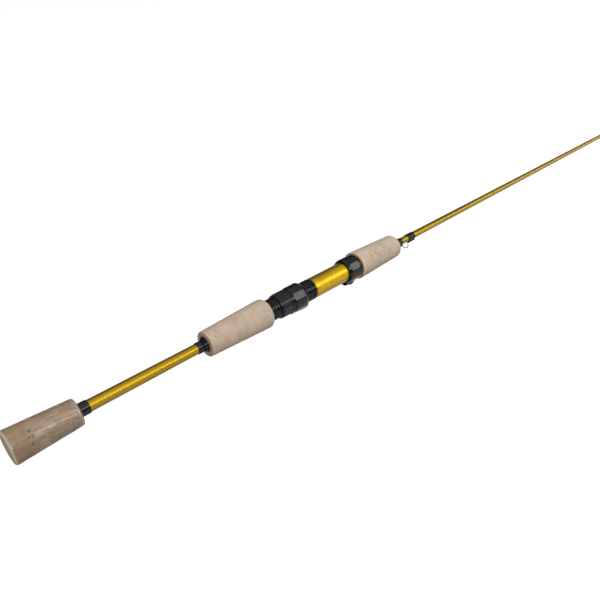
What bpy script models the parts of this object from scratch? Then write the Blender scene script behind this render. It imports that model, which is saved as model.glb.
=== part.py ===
"""A two-piece light spinning rod for crappie, with split cork grips.

The rod lies along +X from the butt to the tip, +Z is up, and the reel, the hoods' pockets and the
guides hang at -Z. The origin is the centre of the flat end of the butt grip. Angles round the rod
start at -Z and grow the way a right-hand screw turns about +X.
"""

from math import acos, atan2, cos, floor, hypot, pi, radians, sin, sqrt, tau

import bmesh
import bpy
from mathutils import Vector

MM = 0.001
SAME_POINT = 0.001 * MM
ON_RIM = 0.01 * MM
SHARP_ANGLE = radians(35.0)

# Clearances between pieces
SEAT_GAP = 0.3 * MM
WINDING_GAP = 0.2 * MM
THREAD_CLEARANCE = 0.3 * MM
SLIDE_CLEARANCE = 0.3 * MM
FERRULE_CLEARANCE = 0.25 * MM

# Lengths of the rod and its two sections
ROD_LENGTH = 1981.0 * MM
TIP_SECTION_START = 0.5 * ROD_LENGTH - 18.5 * MM
FERRULE_OVERLAP = 60.0 * MM
FERRULE_FLARE = 22.0 * MM
BLANK_START = 9.0 * MM
BLANK_WALL = 1.3 * MM
FERRULE_WALL = 0.85 * MM

# Diameters of the blank
BLANK_BUTT_DIAMETER = 10.2 * MM
BLANK_SEAT_DIAMETER = 8.2 * MM
BLANK_SEAT_STATION = 300.0 * MM
BLANK_FERRULE_DIAMETER = 5.45 * MM
TIP_BASE_DIAMETER = 5.6 * MM
TIP_END_DIAMETER = 1.8 * MM

# Cork grips
CORK_RING = 12.7 * MM
REAR_GRIP_RINGS = 4
REAR_GRIP_BUTT_DIAMETER = 26.9 * MM
REAR_GRIP_FRONT_DIAMETER = 21.7 * MM
REAR_GRIP_EDGE = 2.2 * MM
GRIP_EDGE = 0.8 * MM
GRIP_NOSE = 3.8 * MM
MID_GRIP_START = 164.7 * MM
MID_GRIP_RINGS = 5.32
MID_GRIP_REAR_DIAMETER = 23.2 * MM
MID_GRIP_FRONT_DIAMETER = 28.2 * MM
FORE_GRIP_RINGS = 5
FORE_GRIP_REAR_DIAMETER = 28.8 * MM
FORE_GRIP_FRONT_DIAMETER = 24.6 * MM

# Clear film shrunk over the butt grip
FILM_THICKNESS = 0.2 * MM
FILM_REAR_MARGIN = 1.1 * MM
FILM_FRONT_MARGIN = 1.2 * MM

# Windings of thread under varnish
WINDING_THICKNESS = 0.4 * MM
WINDING_RAMP = 0.7 * MM
WINDING_EDGE = 0.25
BUMP_TOP = 1.15
BUMP_FOOT = 2.1
REAR_WINDING_LENGTH = 8.0 * MM
MID_WINDING_LENGTH = 5.3 * MM
CHECK_LENGTH = 3.4 * MM
CHECK_RADIUS = 7.4 * MM
CHECK_LIP = 0.8 * MM
KEEPER_REAR_WINDING_LENGTH = 12.4 * MM
KEEPER_GAP = 10.6 * MM
KEEPER_FRONT_WINDING_LENGTH = 11.6 * MM
FERRULE_WINDING_LENGTH = 26.0 * MM
FERRULE_WINDING_INSET = 2.0 * MM

# Hook keeper
KEEPER_WIRE_RADIUS = 0.42 * MM
KEEPER_ANGLE = radians(-40.0)
KEEPER_RISE = 5.8 * MM
KEEPER_FOOT = 6.0 * MM
KEEPER_BEND = 0.7 * MM

# Reel seat
SEAT_LENGTH = 119.986 * MM
THREAD_RADIUS = 10.3 * MM
THREAD_DEPTH = 0.8 * MM
SEAT_BORE_RADIUS = 0.7185 * THREAD_RADIUS
THREAD_PITCH = 3.3 * MM
THREAD_LENGTH = 53.936 * MM
THREAD_ROOT_SHARE = 0.36
THREAD_CREST_SHARE = 0.17
THREAD_END_SNAP = 0.08 * MM
COLLAR_LENGTH = 2.9 * MM
BED_DISTANCE = THREAD_RADIUS - 1.15 * MM
SLEEVE_RADIUS = THREAD_RADIUS - 0.1 * MM
SLEEVE_WALL = 0.6 * MM
ARBOR_LENGTHS = (18.0 * MM, 16.0 * MM, 16.0 * MM)
ARBOR_END_MARGIN = 6.0 * MM

# Lock nut
NUT_RADIUS = THREAD_RADIUS + 1.8 * MM
NUT_LENGTH = 14.6 * MM
NUT_REST_STATION = 243.7 * MM
NUT_BEVEL = 1.9 * MM
NUT_BEVEL_DROP = 1.1 * MM
NUT_FLUTE_RUN = 0.4 * MM
NUT_RIM = 2.2 * MM
NUT_FLUTES = 12
NUT_FLUTE_DEPTH = 0.6 * MM
NUT_FLUTE_WIDTH = radians(22.0)
NUT_FLUTE_ANGLE = radians(13.5)
NUT_RIDGE_SLOPE = radians(2.2)
NUT_POCKET_LENGTH = 1.6 * MM
NECK_WALL = 0.6 * MM

# Sliding hood
HOOD_RADIUS = THREAD_RADIUS + 2.4 * MM
HOOD_FACET_DISTANCE = HOOD_RADIUS - 0.54 * MM
HOOD_FACET_ANGLE = radians(130.5)
HOOD_LENGTH = 21.6 * MM
HOOD_LIP = 4.4 * MM
HOOD_LIP_FROM = radians(75.0)
HOOD_LIP_FULL = radians(40.0)
HOOD_FACET_LENGTH = 13.8 * MM
HOOD_FACET_STEP = 0.5 * MM
HOOD_NOSE = 2.4 * MM
HOOD_NOSE_DROP = 1.6 * MM
HOOD_REAR_BEVEL = 0.4 * MM
HOOD_REAR_FLARE = 2.2 * MM
HOOD_KEY_LENGTH = 7.0 * MM
HOOD_BOSS_HEIGHT = HOOD_RADIUS + 1.5 * MM
HOOD_BOSS_HALF_WIDTH = 6.8 * MM
HOOD_BOSS_EDGE = 0.5 * MM
HOOD_BOSS_REAR_DROP = 1.2 * MM
BOSS_SQUARENESS = 6.0
HOOD_WALL = 1.5 * MM

# Fixed hood
FIXED_HOOD_LENGTH = 18.5 * MM
FIXED_HOOD_RADIUS = SLEEVE_RADIUS + 2.6 * MM
FIXED_FACET_DISTANCE = FIXED_HOOD_RADIUS - 0.55 * MM
FIXED_REAR_BEVEL = 2.3 * MM
FIXED_REAR_DROP = 0.9 * MM
FIXED_FRONT_BEVEL = 1.6 * MM
FIXED_FRONT_DROP = 0.4 * MM
FIXED_MOUTH_HEIGHT = FIXED_HOOD_RADIUS + 1.7 * MM
FIXED_MOUTH_HALF_WIDTH = 7.2 * MM
FIXED_MOUTH_EDGE = 0.4 * MM
FIXED_BOSS_HEIGHT = FIXED_HOOD_RADIUS + 3.6 * MM
FIXED_BOSS_HALF_WIDTH = 8.0 * MM
FIXED_BOSS_RUN = 9.0 * MM
FIXED_POCKET_WALL = 1.0 * MM
FIXED_POCKET_DEPTH = 9.3 * MM
FIXED_POCKET_SLOPE = 5.0 * MM

# Guides, from the stripper guide to the last one before the tip
GUIDE_RING_DIAMETERS = (16.0 * MM, 12.0 * MM, 10.0 * MM, 8.0 * MM, 7.0 * MM, 6.0 * MM)
GUIDE_STANDOFFS = (8.5 * MM, 6.0 * MM, 4.6 * MM, 3.6 * MM, 3.0 * MM, 2.6 * MM)
TWO_FOOT_GUIDES = 2
GUIDE_NAMES = ("stripper_guide", "second_guide", "third_guide", "fourth_guide", "fifth_guide", "sixth_guide")
GUIDE_FIRST_SPACING = 0.04645 * ROD_LENGTH
GUIDE_SPACING_GROWTH = 1.19
FOOT_LENGTH = 11.0 * MM
FOOT_THICKNESS = 0.5 * MM
FOOT_HALF_WIDTH = 1.2 * MM
FOOT_WIDTH_LIMIT = 0.8
LEG_SPREAD = 0.75
LEG_KNEE_RUN = 1.5 * MM
GUIDE_WINDING_MARGIN = 1.5 * MM
HOLDER_WALL = 0.8 * MM
HOLDER_HALF_LENGTH = 0.7 * MM
RING_WALL = 0.9 * MM
RING_HALF_LENGTH = 0.9 * MM

# Tip-top
TIP_TUBE_LENGTH = 12.0 * MM
TIP_TUBE_WALL = 0.4 * MM
TIP_RING_DIAMETER = 6.0 * MM
TIP_RING_DROP = 4.6 * MM
TIP_LEG_HALF_WIDTH = 0.7 * MM
TIP_LEG_THICKNESS = 1.0 * MM
TIP_WINDING_LENGTH = 9.0 * MM

# Surfaces: colour, roughness, metallic and, for the film, how opaque it is
GOLD = ((0.52, 0.35, 0.02), 0.32, 0.85)
CORK = ((0.62, 0.49, 0.38), 0.85, 0.0)
BUTT_CORK = ((0.45, 0.33, 0.22), 0.8, 0.0)
CLEAR_FILM = ((0.9, 0.9, 0.9), 0.08, 0.0, 0.25)
THREAD = ((0.012, 0.012, 0.014), 0.15, 0.0)
PLASTIC = ((0.03, 0.031, 0.033), 0.35, 0.0)
PAPER = ((0.55, 0.45, 0.3), 0.9, 0.0)
STEEL = ((0.28, 0.28, 0.3), 0.2, 1.0)
CERAMIC = ((0.05, 0.055, 0.06), 0.1, 0.0)

# Facets round each kind of piece
GRIP_FACETS = 24
BLANK_FACETS = 20
WINDING_FACETS = 12
THREAD_FACETS = 18
HOOD_FACETS = 32
RING_FACETS = 14
SECTION_FACETS = 6
LOOP_STEPS = 12
BEND_STEPS = 3

# Stations along the rod that several pieces share
REAR_GRIP_LENGTH = REAR_GRIP_RINGS * CORK_RING
MID_GRIP_END = MID_GRIP_START + MID_GRIP_RINGS * CORK_RING
SEAT_START = MID_GRIP_END + SEAT_GAP
SEAT_END = SEAT_START + SEAT_LENGTH
THREAD_END = SEAT_START + THREAD_LENGTH
COLLAR_END = THREAD_END + COLLAR_LENGTH
NUT_END = NUT_REST_STATION + NUT_LENGTH
HOOD_START = NUT_END + SEAT_GAP
HOOD_END = HOOD_START + HOOD_LENGTH
FIXED_HOOD_START = SEAT_END - FIXED_HOOD_LENGTH
FORE_GRIP_START = SEAT_END + SEAT_GAP
FORE_GRIP_END = FORE_GRIP_START + FORE_GRIP_RINGS * CORK_RING
KEEPER_GAP_START = FORE_GRIP_END + SEAT_GAP + KEEPER_REAR_WINDING_LENGTH
KEEPER_GAP_END = KEEPER_GAP_START + KEEPER_GAP
BUTT_BLANK_END = TIP_SECTION_START + FERRULE_OVERLAP
TIP_TOP_END = ROD_LENGTH - (RING_HALF_LENGTH - HOLDER_HALF_LENGTH)


def material(name, colour, roughness, metallic, alpha=1.0):
    """A piece's own plain material of one colour."""
    made = bpy.data.materials.new(name)
    made.use_nodes = True
    shader = made.node_tree.nodes["Principled BSDF"]
    shader.inputs["Base Color"].default_value = (*colour, 1.0)
    shader.inputs["Roughness"].default_value = roughness
    shader.inputs["Metallic"].default_value = metallic
    shader.inputs["Alpha"].default_value = alpha
    made.diffuse_color = (*colour, alpha)
    return made


def finish(name, form, surface):
    """Puts a closed form into the scene, with its origin on the rod's axis at its rear end."""
    bmesh.ops.remove_doubles(form, verts=form.verts, dist=SAME_POINT)
    bmesh.ops.dissolve_degenerate(form, edges=form.edges, dist=SAME_POINT)
    bmesh.ops.recalc_face_normals(form, faces=form.faces)
    rear = min(vert.co.x for vert in form.verts)
    bmesh.ops.translate(form, vec=(-rear, 0.0, 0.0), verts=form.verts)
    mesh = bpy.data.meshes.new(name)
    form.to_mesh(mesh)
    form.free()
    mesh.shade_smooth()
    mesh.set_sharp_from_angle(angle=SHARP_ANGLE)
    return place_piece(name, mesh, rear, surface)


def place_piece(name, shape, rear, surface):
    """Makes the named object of a shape and puts it at its station on the rod."""
    shape.materials.append(material(name, *surface))
    made = bpy.data.objects.new(name, shape)
    made.location.x = rear
    bpy.context.scene.collection.objects.link(made)
    return made


def around(count, extra=()):
    """Evenly spaced angles round the rod, with extra ones where a corner has to be exact."""
    spacing = tau / count
    kept = [angle % tau for angle in extra]
    for step in range(count):
        angle = step * spacing
        nearest = min((abs((angle - other + pi) % tau - pi) for other in kept), default=pi)
        if nearest > 0.25 * spacing:
            kept.append(angle)
    return sorted(kept)


def outward(angle, radius):
    """The point at an angle and a radius, looking along the rod."""
    return sin(angle) * radius, -cos(angle) * radius


def value_at(value, angle):
    """A size that is the same all round, or one that depends on the angle."""
    return value(angle) if callable(value) else value


def ring_points(station, radius, angles, centre=(0.0, 0.0)):
    """One ring of points round an axis along the rod."""
    points = []
    for angle in angles:
        y, z = outward(angle, value_at(radius, angle))
        points.append((value_at(station, angle), centre[0] + y, centre[1] + z))
    return points


def join_rings(form, loops, closed=False):
    """Faces between one loop of points and the next, and from last to first where closed."""
    pairs = list(zip(loops, loops[1:]))
    if closed:
        pairs.append((loops[-1], loops[0]))
    count = len(loops[0])
    for first, second in pairs:
        for here in range(count):
            beside = (here + 1) % count
            form.faces.new((first[here], first[beside], second[beside], second[here]))


def skin(rings, capped):
    """A closed form over rings of points: capped at its ends, or joined last to first."""
    form = bmesh.new()
    loops = [[form.verts.new(point) for point in ring] for ring in rings]
    if capped:
        form.faces.new(loops[0])
        form.faces.new(loops[-1])
    join_rings(form, loops, closed=not capped)
    return form


def turned(name, outline, angles, surface, centre=(0.0, 0.0), capped=False):
    """A piece turned round the rod from (station, radius) points."""
    rings = [ring_points(station, radius, angles, centre) for station, radius in outline]
    return finish(name, skin(rings, capped), surface)


def rounded_edge(station, radius, size, start, end, steps=3):
    """Points of a quarter-round edge whose centre is size inside the corner."""
    points = []
    for step in range(steps + 1):
        turn = start + (end - start) * step / steps
        points.append((station + size * cos(turn), radius + size * sin(turn)))
    return points


def blank_radius(station):
    """Outer radius of the butt section's blank."""
    if station < BLANK_SEAT_STATION:
        share = station / BLANK_SEAT_STATION
        return 0.5 * (BLANK_BUTT_DIAMETER + (BLANK_SEAT_DIAMETER - BLANK_BUTT_DIAMETER) * share)
    share = (station - BLANK_SEAT_STATION) / (BUTT_BLANK_END - BLANK_SEAT_STATION)
    return 0.5 * (BLANK_SEAT_DIAMETER + (BLANK_FERRULE_DIAMETER - BLANK_SEAT_DIAMETER) * share)


def ferrule_end():
    """Station where the flared ferrule has come down to the tip blank."""
    return BUTT_BLANK_END + SEAT_GAP + FERRULE_FLARE


def tip_radius(station):
    """Outer radius of the tip section, with its flared ferrule."""
    sleeve = blank_radius(TIP_SECTION_START) + FERRULE_CLEARANCE + FERRULE_WALL
    if station < BUTT_BLANK_END:
        return sleeve
    base = 0.5 * TIP_BASE_DIAMETER
    if station < ferrule_end():
        return sleeve + (base - sleeve) * (station - BUTT_BLANK_END) / (ferrule_end() - BUTT_BLANK_END)
    share = (station - ferrule_end()) / (ROD_LENGTH - ferrule_end())
    return base + (0.5 * TIP_END_DIAMETER - base) * share


def bore_outline(start, end, gap):
    """Two points of a bore that follows the blank, from its front end to its rear."""
    return [(end, blank_radius(end) + gap), (start, blank_radius(start) + gap)]


def flatted(radius, flat):
    """A round section with a flat across its underside."""
    def section(angle):
        return min(radius, flat / cos(angle)) if cos(angle) > 0.0 else radius
    return section


def boss(height, half_width):
    """Radius of a rounded block that hangs under the rod."""
    def section(angle):
        if cos(angle) <= 0.0:
            return 0.0
        down = (cos(angle) / height) ** BOSS_SQUARENESS
        across = (abs(sin(angle)) / half_width) ** BOSS_SQUARENESS
        return (down + across) ** (-1.0 / BOSS_SQUARENESS)
    return section


def widest(*sections):
    """The outermost of several sections."""
    def section(angle):
        return max(value_at(each, angle) for each in sections)
    return section


def foot_lift(base, foot):
    """How far a winding rises to clear a foot that lies on a blank of this radius."""
    return hypot(base + WINDING_GAP + foot["thickness"], foot["half_width"]) - base


def foot_half_angle(base, foot):
    """Half the angle round the blank that a winding has to rise over."""
    return atan2(foot["half_width"] + WINDING_GAP, base + WINDING_GAP + 0.5 * foot["thickness"])


def over_foot(radius, foot_angle, half_angle, lift):
    """A round section that rises over a foot lying on the blank."""
    def section(angle):
        apart = abs((angle - foot_angle + pi) % tau - pi)
        share = (BUMP_FOOT - apart / half_angle) / (BUMP_FOOT - BUMP_TOP)
        return radius + lift * min(1.0, max(0.0, share))
    return section


def winding(name, start, end, radius_of, surface, foot=None):
    """Thread wound round the blank and ramped at both ends, over a foot where there is one."""
    angles = around(WINDING_FACETS)
    if foot:
        half_angle = foot_half_angle(radius_of(0.5 * (start + end)), foot)
        shares = (-BUMP_FOOT, -BUMP_TOP, 0.0, BUMP_TOP, BUMP_FOOT)
        angles = around(WINDING_FACETS, [foot["angle"] + share * half_angle for share in shares])

    def section(station, thickness):
        base = radius_of(station)
        radius = base + WINDING_GAP + thickness
        return over_foot(radius, foot["angle"], half_angle, foot_lift(base, foot)) if foot else radius

    edge = WINDING_EDGE * WINDING_THICKNESS
    outline = [
        (start, section(start, edge)),
        (start + WINDING_RAMP, section(start + WINDING_RAMP, WINDING_THICKNESS)),
        (end - WINDING_RAMP, section(end - WINDING_RAMP, WINDING_THICKNESS)),
        (end, section(end, edge)),
        (end, section(end, 0.0)),
        (start, section(start, 0.0)),
    ]
    return turned(name, outline, angles, surface)


def combine(target, tool, operation):
    """Joins or cuts one object with another, which is then only a guide."""
    modifier = target.modifiers.new(operation.lower(), "BOOLEAN")
    modifier.operation = operation
    modifier.solver = "EXACT"
    modifier.object = tool
    tool.hide_render = True
    tool.display_type = "WIRE"


def butt_blank(surface):
    """Hollow tapered blank from the butt grip to the ferrule."""
    stations = (BLANK_START, BLANK_SEAT_STATION, BUTT_BLANK_END)
    outline = [(station, blank_radius(station)) for station in stations]
    outline += [(station, blank_radius(station) - BLANK_WALL) for station in reversed(stations)]
    turned("butt_blank", outline, around(BLANK_FACETS), surface)


def rear_grip(surface):
    """Cork butt grip with a closed, flat end."""
    butt = 0.5 * REAR_GRIP_BUTT_DIAMETER
    front = 0.5 * REAR_GRIP_FRONT_DIAMETER
    end = REAR_GRIP_LENGTH
    outline = rounded_edge(REAR_GRIP_EDGE, butt - REAR_GRIP_EDGE, REAR_GRIP_EDGE, pi, 0.5 * pi)
    outline += rounded_edge(end - GRIP_EDGE, front - GRIP_EDGE, GRIP_EDGE, 0.5 * pi, 0.0, 2)
    outline += bore_outline(BLANK_START - SEAT_GAP, end, SEAT_GAP)
    turned("rear_grip", outline, around(GRIP_FACETS), surface, capped=True)


def rear_grip_radius(station):
    """Outer radius of the butt grip, with its rounded rear edge."""
    butt = 0.5 * REAR_GRIP_BUTT_DIAMETER
    front = 0.5 * REAR_GRIP_FRONT_DIAMETER
    before_side = REAR_GRIP_EDGE - station
    if before_side > 0.0:
        return butt - REAR_GRIP_EDGE + sqrt(REAR_GRIP_EDGE ** 2 - before_side ** 2)
    return butt - (front - butt) * before_side / (REAR_GRIP_LENGTH - GRIP_EDGE - REAR_GRIP_EDGE)


def grip_film(surface):
    """Clear film over the side of the butt grip and round its rear edge."""
    stations = (FILM_REAR_MARGIN, REAR_GRIP_EDGE, REAR_GRIP_LENGTH - FILM_FRONT_MARGIN)
    inner = [(station, rear_grip_radius(station) + SEAT_GAP) for station in stations]
    outer = [(station, radius + FILM_THICKNESS) for station, radius in inner]
    turned("butt_grip_film", outer + inner[::-1], around(GRIP_FACETS), surface)


def mid_grip(surface):
    """Cork grip behind the reel seat, flared towards it."""
    rear = 0.5 * MID_GRIP_REAR_DIAMETER
    front = 0.5 * MID_GRIP_FRONT_DIAMETER
    outline = rounded_edge(MID_GRIP_START + GRIP_EDGE, rear - GRIP_EDGE, GRIP_EDGE, pi, 0.5 * pi, 2)
    outline += rounded_edge(MID_GRIP_END - GRIP_NOSE, front - GRIP_NOSE, GRIP_NOSE, 0.5 * pi, 0.0)
    outline += bore_outline(MID_GRIP_START, MID_GRIP_END, SEAT_GAP)
    turned("mid_grip", outline, around(GRIP_FACETS), surface)


def fore_grip(surface):
    """Cork grip in front of the reel seat, tapered to the blank."""
    rear = 0.5 * FORE_GRIP_REAR_DIAMETER
    front = 0.5 * FORE_GRIP_FRONT_DIAMETER
    outline = rounded_edge(FORE_GRIP_START + GRIP_EDGE, rear - GRIP_EDGE, GRIP_EDGE, pi, 0.5 * pi, 2)
    outline += rounded_edge(FORE_GRIP_END - GRIP_NOSE, front - GRIP_NOSE, GRIP_NOSE, 0.5 * pi, 0.0)
    outline += bore_outline(FORE_GRIP_START, FORE_GRIP_END, SEAT_GAP)
    turned("fore_grip", outline, around(GRIP_FACETS), surface)


def grip_windings(surface):
    """Thread windings at the ends of the cork grips."""
    rear_start = REAR_GRIP_LENGTH + SEAT_GAP
    winding("butt_grip_winding", rear_start, rear_start + REAR_WINDING_LENGTH, blank_radius, surface)
    mid_end = MID_GRIP_START - CHECK_LENGTH - 2.0 * SEAT_GAP
    winding("mid_grip_winding", mid_end - MID_WINDING_LENGTH, mid_end, blank_radius, surface)
    keeper = {"angle": KEEPER_ANGLE, "half_width": KEEPER_WIRE_RADIUS, "thickness": 2.0 * KEEPER_WIRE_RADIUS}
    start = FORE_GRIP_END + SEAT_GAP
    winding("keeper_rear_winding", start, KEEPER_GAP_START, blank_radius, surface, keeper)
    end = KEEPER_GAP_END + KEEPER_FRONT_WINDING_LENGTH
    winding("keeper_front_winding", KEEPER_GAP_END, end, blank_radius, surface, keeper)


def winding_check(surface):
    """Cone-shaped ring that closes the rear face of the middle grip."""
    end = MID_GRIP_START - SEAT_GAP
    start = end - CHECK_LENGTH
    outline = [
        (start, blank_radius(start) + WINDING_GAP + WINDING_THICKNESS),
        (end - CHECK_LIP, CHECK_RADIUS - 0.5 * CHECK_LIP),
        (end - 0.5 * CHECK_LIP, CHECK_RADIUS),
        (end, CHECK_RADIUS),
    ]
    outline += bore_outline(start, end, WINDING_GAP)
    turned("winding_check", outline, around(GRIP_FACETS), surface)


def hook_keeper(surface):
    """Bent wire loop whose two feet lie under the windings beside it."""
    foot = blank_radius(KEEPER_GAP_START) + WINDING_GAP + KEEPER_WIRE_RADIUS
    front_foot = blank_radius(KEEPER_GAP_END) + WINDING_GAP + KEEPER_WIRE_RADIUS
    leg = KEEPER_GAP_START + SEAT_GAP + KEEPER_WIRE_RADIUS
    front_leg = KEEPER_GAP_END - SEAT_GAP - KEEPER_WIRE_RADIUS
    loop_radius = 0.5 * (front_leg - leg)
    loop_height = blank_radius(leg) + KEEPER_RISE - KEEPER_WIRE_RADIUS - loop_radius
    rear = KEEPER_GAP_START - KEEPER_FOOT
    route = [(rear, foot)]
    for step in range(BEND_STEPS + 1):
        turn = 0.5 * pi * step / BEND_STEPS
        station = leg - KEEPER_BEND * (1.0 - sin(turn))
        route.append((station, foot + KEEPER_BEND * (1.0 - cos(turn))))
    for step in range(LOOP_STEPS + 1):
        turn = pi - pi * step / LOOP_STEPS
        route.append((leg + loop_radius * (1.0 + cos(turn)), loop_height + loop_radius * sin(turn)))
    for step in range(BEND_STEPS + 1):
        turn = 0.5 * pi * (1.0 - step / BEND_STEPS)
        station = front_leg + KEEPER_BEND * (1.0 - sin(turn))
        route.append((station, front_foot + KEEPER_BEND * (1.0 - cos(turn))))
    route.append((KEEPER_GAP_END + KEEPER_FOOT, front_foot))
    curve = bpy.data.curves.new("hook_keeper", "CURVE")
    curve.dimensions = "3D"
    curve.bevel_depth = KEEPER_WIRE_RADIUS
    curve.bevel_resolution = 2
    curve.use_fill_caps = True
    spline = curve.splines.new("POLY")
    spline.points.add(len(route) - 1)
    for point, (station, radius) in zip(spline.points, route):
        y, z = outward(KEEPER_ANGLE, radius)
        point.co = (station - rear, y, z, 1.0)
    place_piece("hook_keeper", curve, rear, surface)


def thread_radius(step, clearance):
    """Radius at one of the four corners of the thread's profile."""
    crest = step % 4 in (1, 2)
    return THREAD_RADIUS - (0.0 if crest else THREAD_DEPTH) + clearance


def thread_station(step, clearance):
    """Station of a profile corner along one turn, before the helix moves it."""
    half_root = THREAD_ROOT_SHARE * THREAD_PITCH + clearance
    half_crest = THREAD_CREST_SHARE * THREAD_PITCH + clearance
    offsets = (-half_root, -half_crest, half_crest, half_root)
    turn, corner = divmod(step, 4)
    return (turn + 0.5) * THREAD_PITCH + offsets[corner]


def thread_rings(start, end, clearance, end_radius, limit=None):
    """Skin of a right-hand thread that runs out to one radius at both ends, where it is open."""
    form = bmesh.new()
    spacing = tau / THREAD_FACETS
    turns = int(floor((end - start) / THREAD_PITCH)) + 3
    phase = floor(start / THREAD_PITCH) * THREAD_PITCH
    corners = {}

    def corner(step, facet):
        if facet == THREAD_FACETS:
            step += 4
            facet = 0
        if (step, facet) not in corners:
            angle = facet * spacing
            free = phase + thread_station(step, clearance) + THREAD_PITCH * facet / THREAD_FACETS
            inside = start + THREAD_END_SNAP < free < end - THREAD_END_SNAP
            station = free if inside else (start if free < 0.5 * (start + end) else end)
            radius = thread_radius(step, clearance) if inside else end_radius
            if limit:
                radius = min(radius, limit(angle))
            y, z = outward(angle, radius)
            corners[(step, facet)] = form.verts.new((station, y, z))
        return corners[(step, facet)]

    for step in range(-8, 4 * turns):
        for facet in range(THREAD_FACETS):
            near = (corner(step, facet), corner(step, facet + 1))
            far = (corner(step + 1, facet + 1), corner(step + 1, facet))
            form.faces.new(near + far)
    bmesh.ops.remove_doubles(form, verts=form.verts, dist=SAME_POINT)
    bmesh.ops.dissolve_degenerate(form, edges=form.edges, dist=SAME_POINT)
    return form


def angle_of(vert):
    """Angle of a point round the rod."""
    return atan2(vert.co.y, -vert.co.z) % tau


def end_loop(form, station):
    """The open rim of a form at a station, in order of angle."""
    rim = {vert for edge in form.edges if edge.is_boundary for vert in edge.verts}
    rim = [vert for vert in rim if abs(vert.co.x - station) < ON_RIM]
    return sorted(rim, key=angle_of)


def zip_rims(form, first, second):
    """Triangles between two rims with different numbers of points, matched by their angles."""
    here = there = 0
    while here < len(first) or there < len(second):
        next_here = angle_of(first[here + 1]) if here + 1 < len(first) else tau
        next_there = angle_of(second[there + 1]) if there + 1 < len(second) else tau
        step_here = here < len(first) and (next_here <= next_there or there == len(second))
        near = first[here % len(first)]
        far = second[there % len(second)]
        if step_here:
            form.faces.new((near, first[(here + 1) % len(first)], far))
            here += 1
        else:
            form.faces.new((near, second[(there + 1) % len(second)], far))
            there += 1


def seat_body(surface):
    """Tube of the reel seat: threaded at the rear, with a collar and a spigot for the sleeve."""
    angles = around(THREAD_FACETS)
    core = THREAD_RADIUS - THREAD_DEPTH
    start = SEAT_START + 0.5 * THREAD_PITCH
    form = thread_rings(start, THREAD_END, 0.0, core, flatted(2.0 * THREAD_RADIUS, BED_DISTANCE))
    rear = end_loop(form, start)
    front = end_loop(form, THREAD_END)
    spigot = SLEEVE_RADIUS - SLEEVE_WALL - SEAT_GAP
    collar = flatted(THREAD_RADIUS, BED_DISTANCE)
    spigot_section = flatted(spigot, BED_DISTANCE - SLEEVE_WALL - SEAT_GAP)
    rings = [
        ring_points(THREAD_END, collar, angles),
        ring_points(COLLAR_END, collar, angles),
        ring_points(COLLAR_END, spigot_section, angles),
        ring_points(SEAT_END, spigot_section, angles),
        ring_points(SEAT_END, SEAT_BORE_RADIUS, angles),
        ring_points(SEAT_START, SEAT_BORE_RADIUS, angles),
        ring_points(SEAT_START, flatted(core, BED_DISTANCE), angles),
    ]
    loops = [[form.verts.new(point) for point in ring] for ring in rings]
    join_rings(form, [front] + loops + [rear])
    finish("reel_seat_body", form, surface)


def seat_sleeve(surface):
    """Metal sleeve over the front of the seat, with the flat bed for the reel's foot."""
    corner = acos(BED_DISTANCE / SLEEVE_RADIUS)
    angles = around(GRIP_FACETS, (-corner, corner))
    outer = flatted(SLEEVE_RADIUS, BED_DISTANCE)
    inner = flatted(SLEEVE_RADIUS - SLEEVE_WALL, BED_DISTANCE - SLEEVE_WALL)
    start = COLLAR_END + SEAT_GAP
    bed_end = FIXED_HOOD_START + FIXED_POCKET_DEPTH - SEAT_GAP
    outline = [
        (start, outer),
        (bed_end, outer),
        (bed_end, SLEEVE_RADIUS),
        (SEAT_END, SLEEVE_RADIUS),
        (SEAT_END, inner),
        (start, inner),
    ]
    turned("reel_seat_sleeve", outline, angles, surface)


def seat_arbors(surface):
    """Rings that fill the space between the blank and the wider bore of the reel seat."""
    first = SEAT_START + ARBOR_END_MARGIN
    last = SEAT_END - ARBOR_END_MARGIN - ARBOR_LENGTHS[2]
    middle = 0.5 * (first + ARBOR_LENGTHS[0] + last - ARBOR_LENGTHS[1])
    names = ("rear_arbor", "middle_arbor", "front_arbor")
    for name, start, length in zip(names, (first, middle, last), ARBOR_LENGTHS):
        outer = SEAT_BORE_RADIUS - SEAT_GAP
        outline = [(start, outer), (start + length, outer)]
        outline += bore_outline(start, start + length, SEAT_GAP)
        turned(name, outline, around(BLANK_FACETS), surface)


def fluted(radius, depth):
    """Section of the nut, with wide shallow flutes between narrow ridges."""
    def section(angle):
        period = tau / NUT_FLUTES
        apart = abs((angle - NUT_FLUTE_ANGLE + 0.5 * period) % period - 0.5 * period)
        share = (apart - 0.5 * NUT_FLUTE_WIDTH) / NUT_RIDGE_SLOPE
        return radius - depth * (1.0 - min(1.0, max(0.0, share)))
    return section


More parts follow.
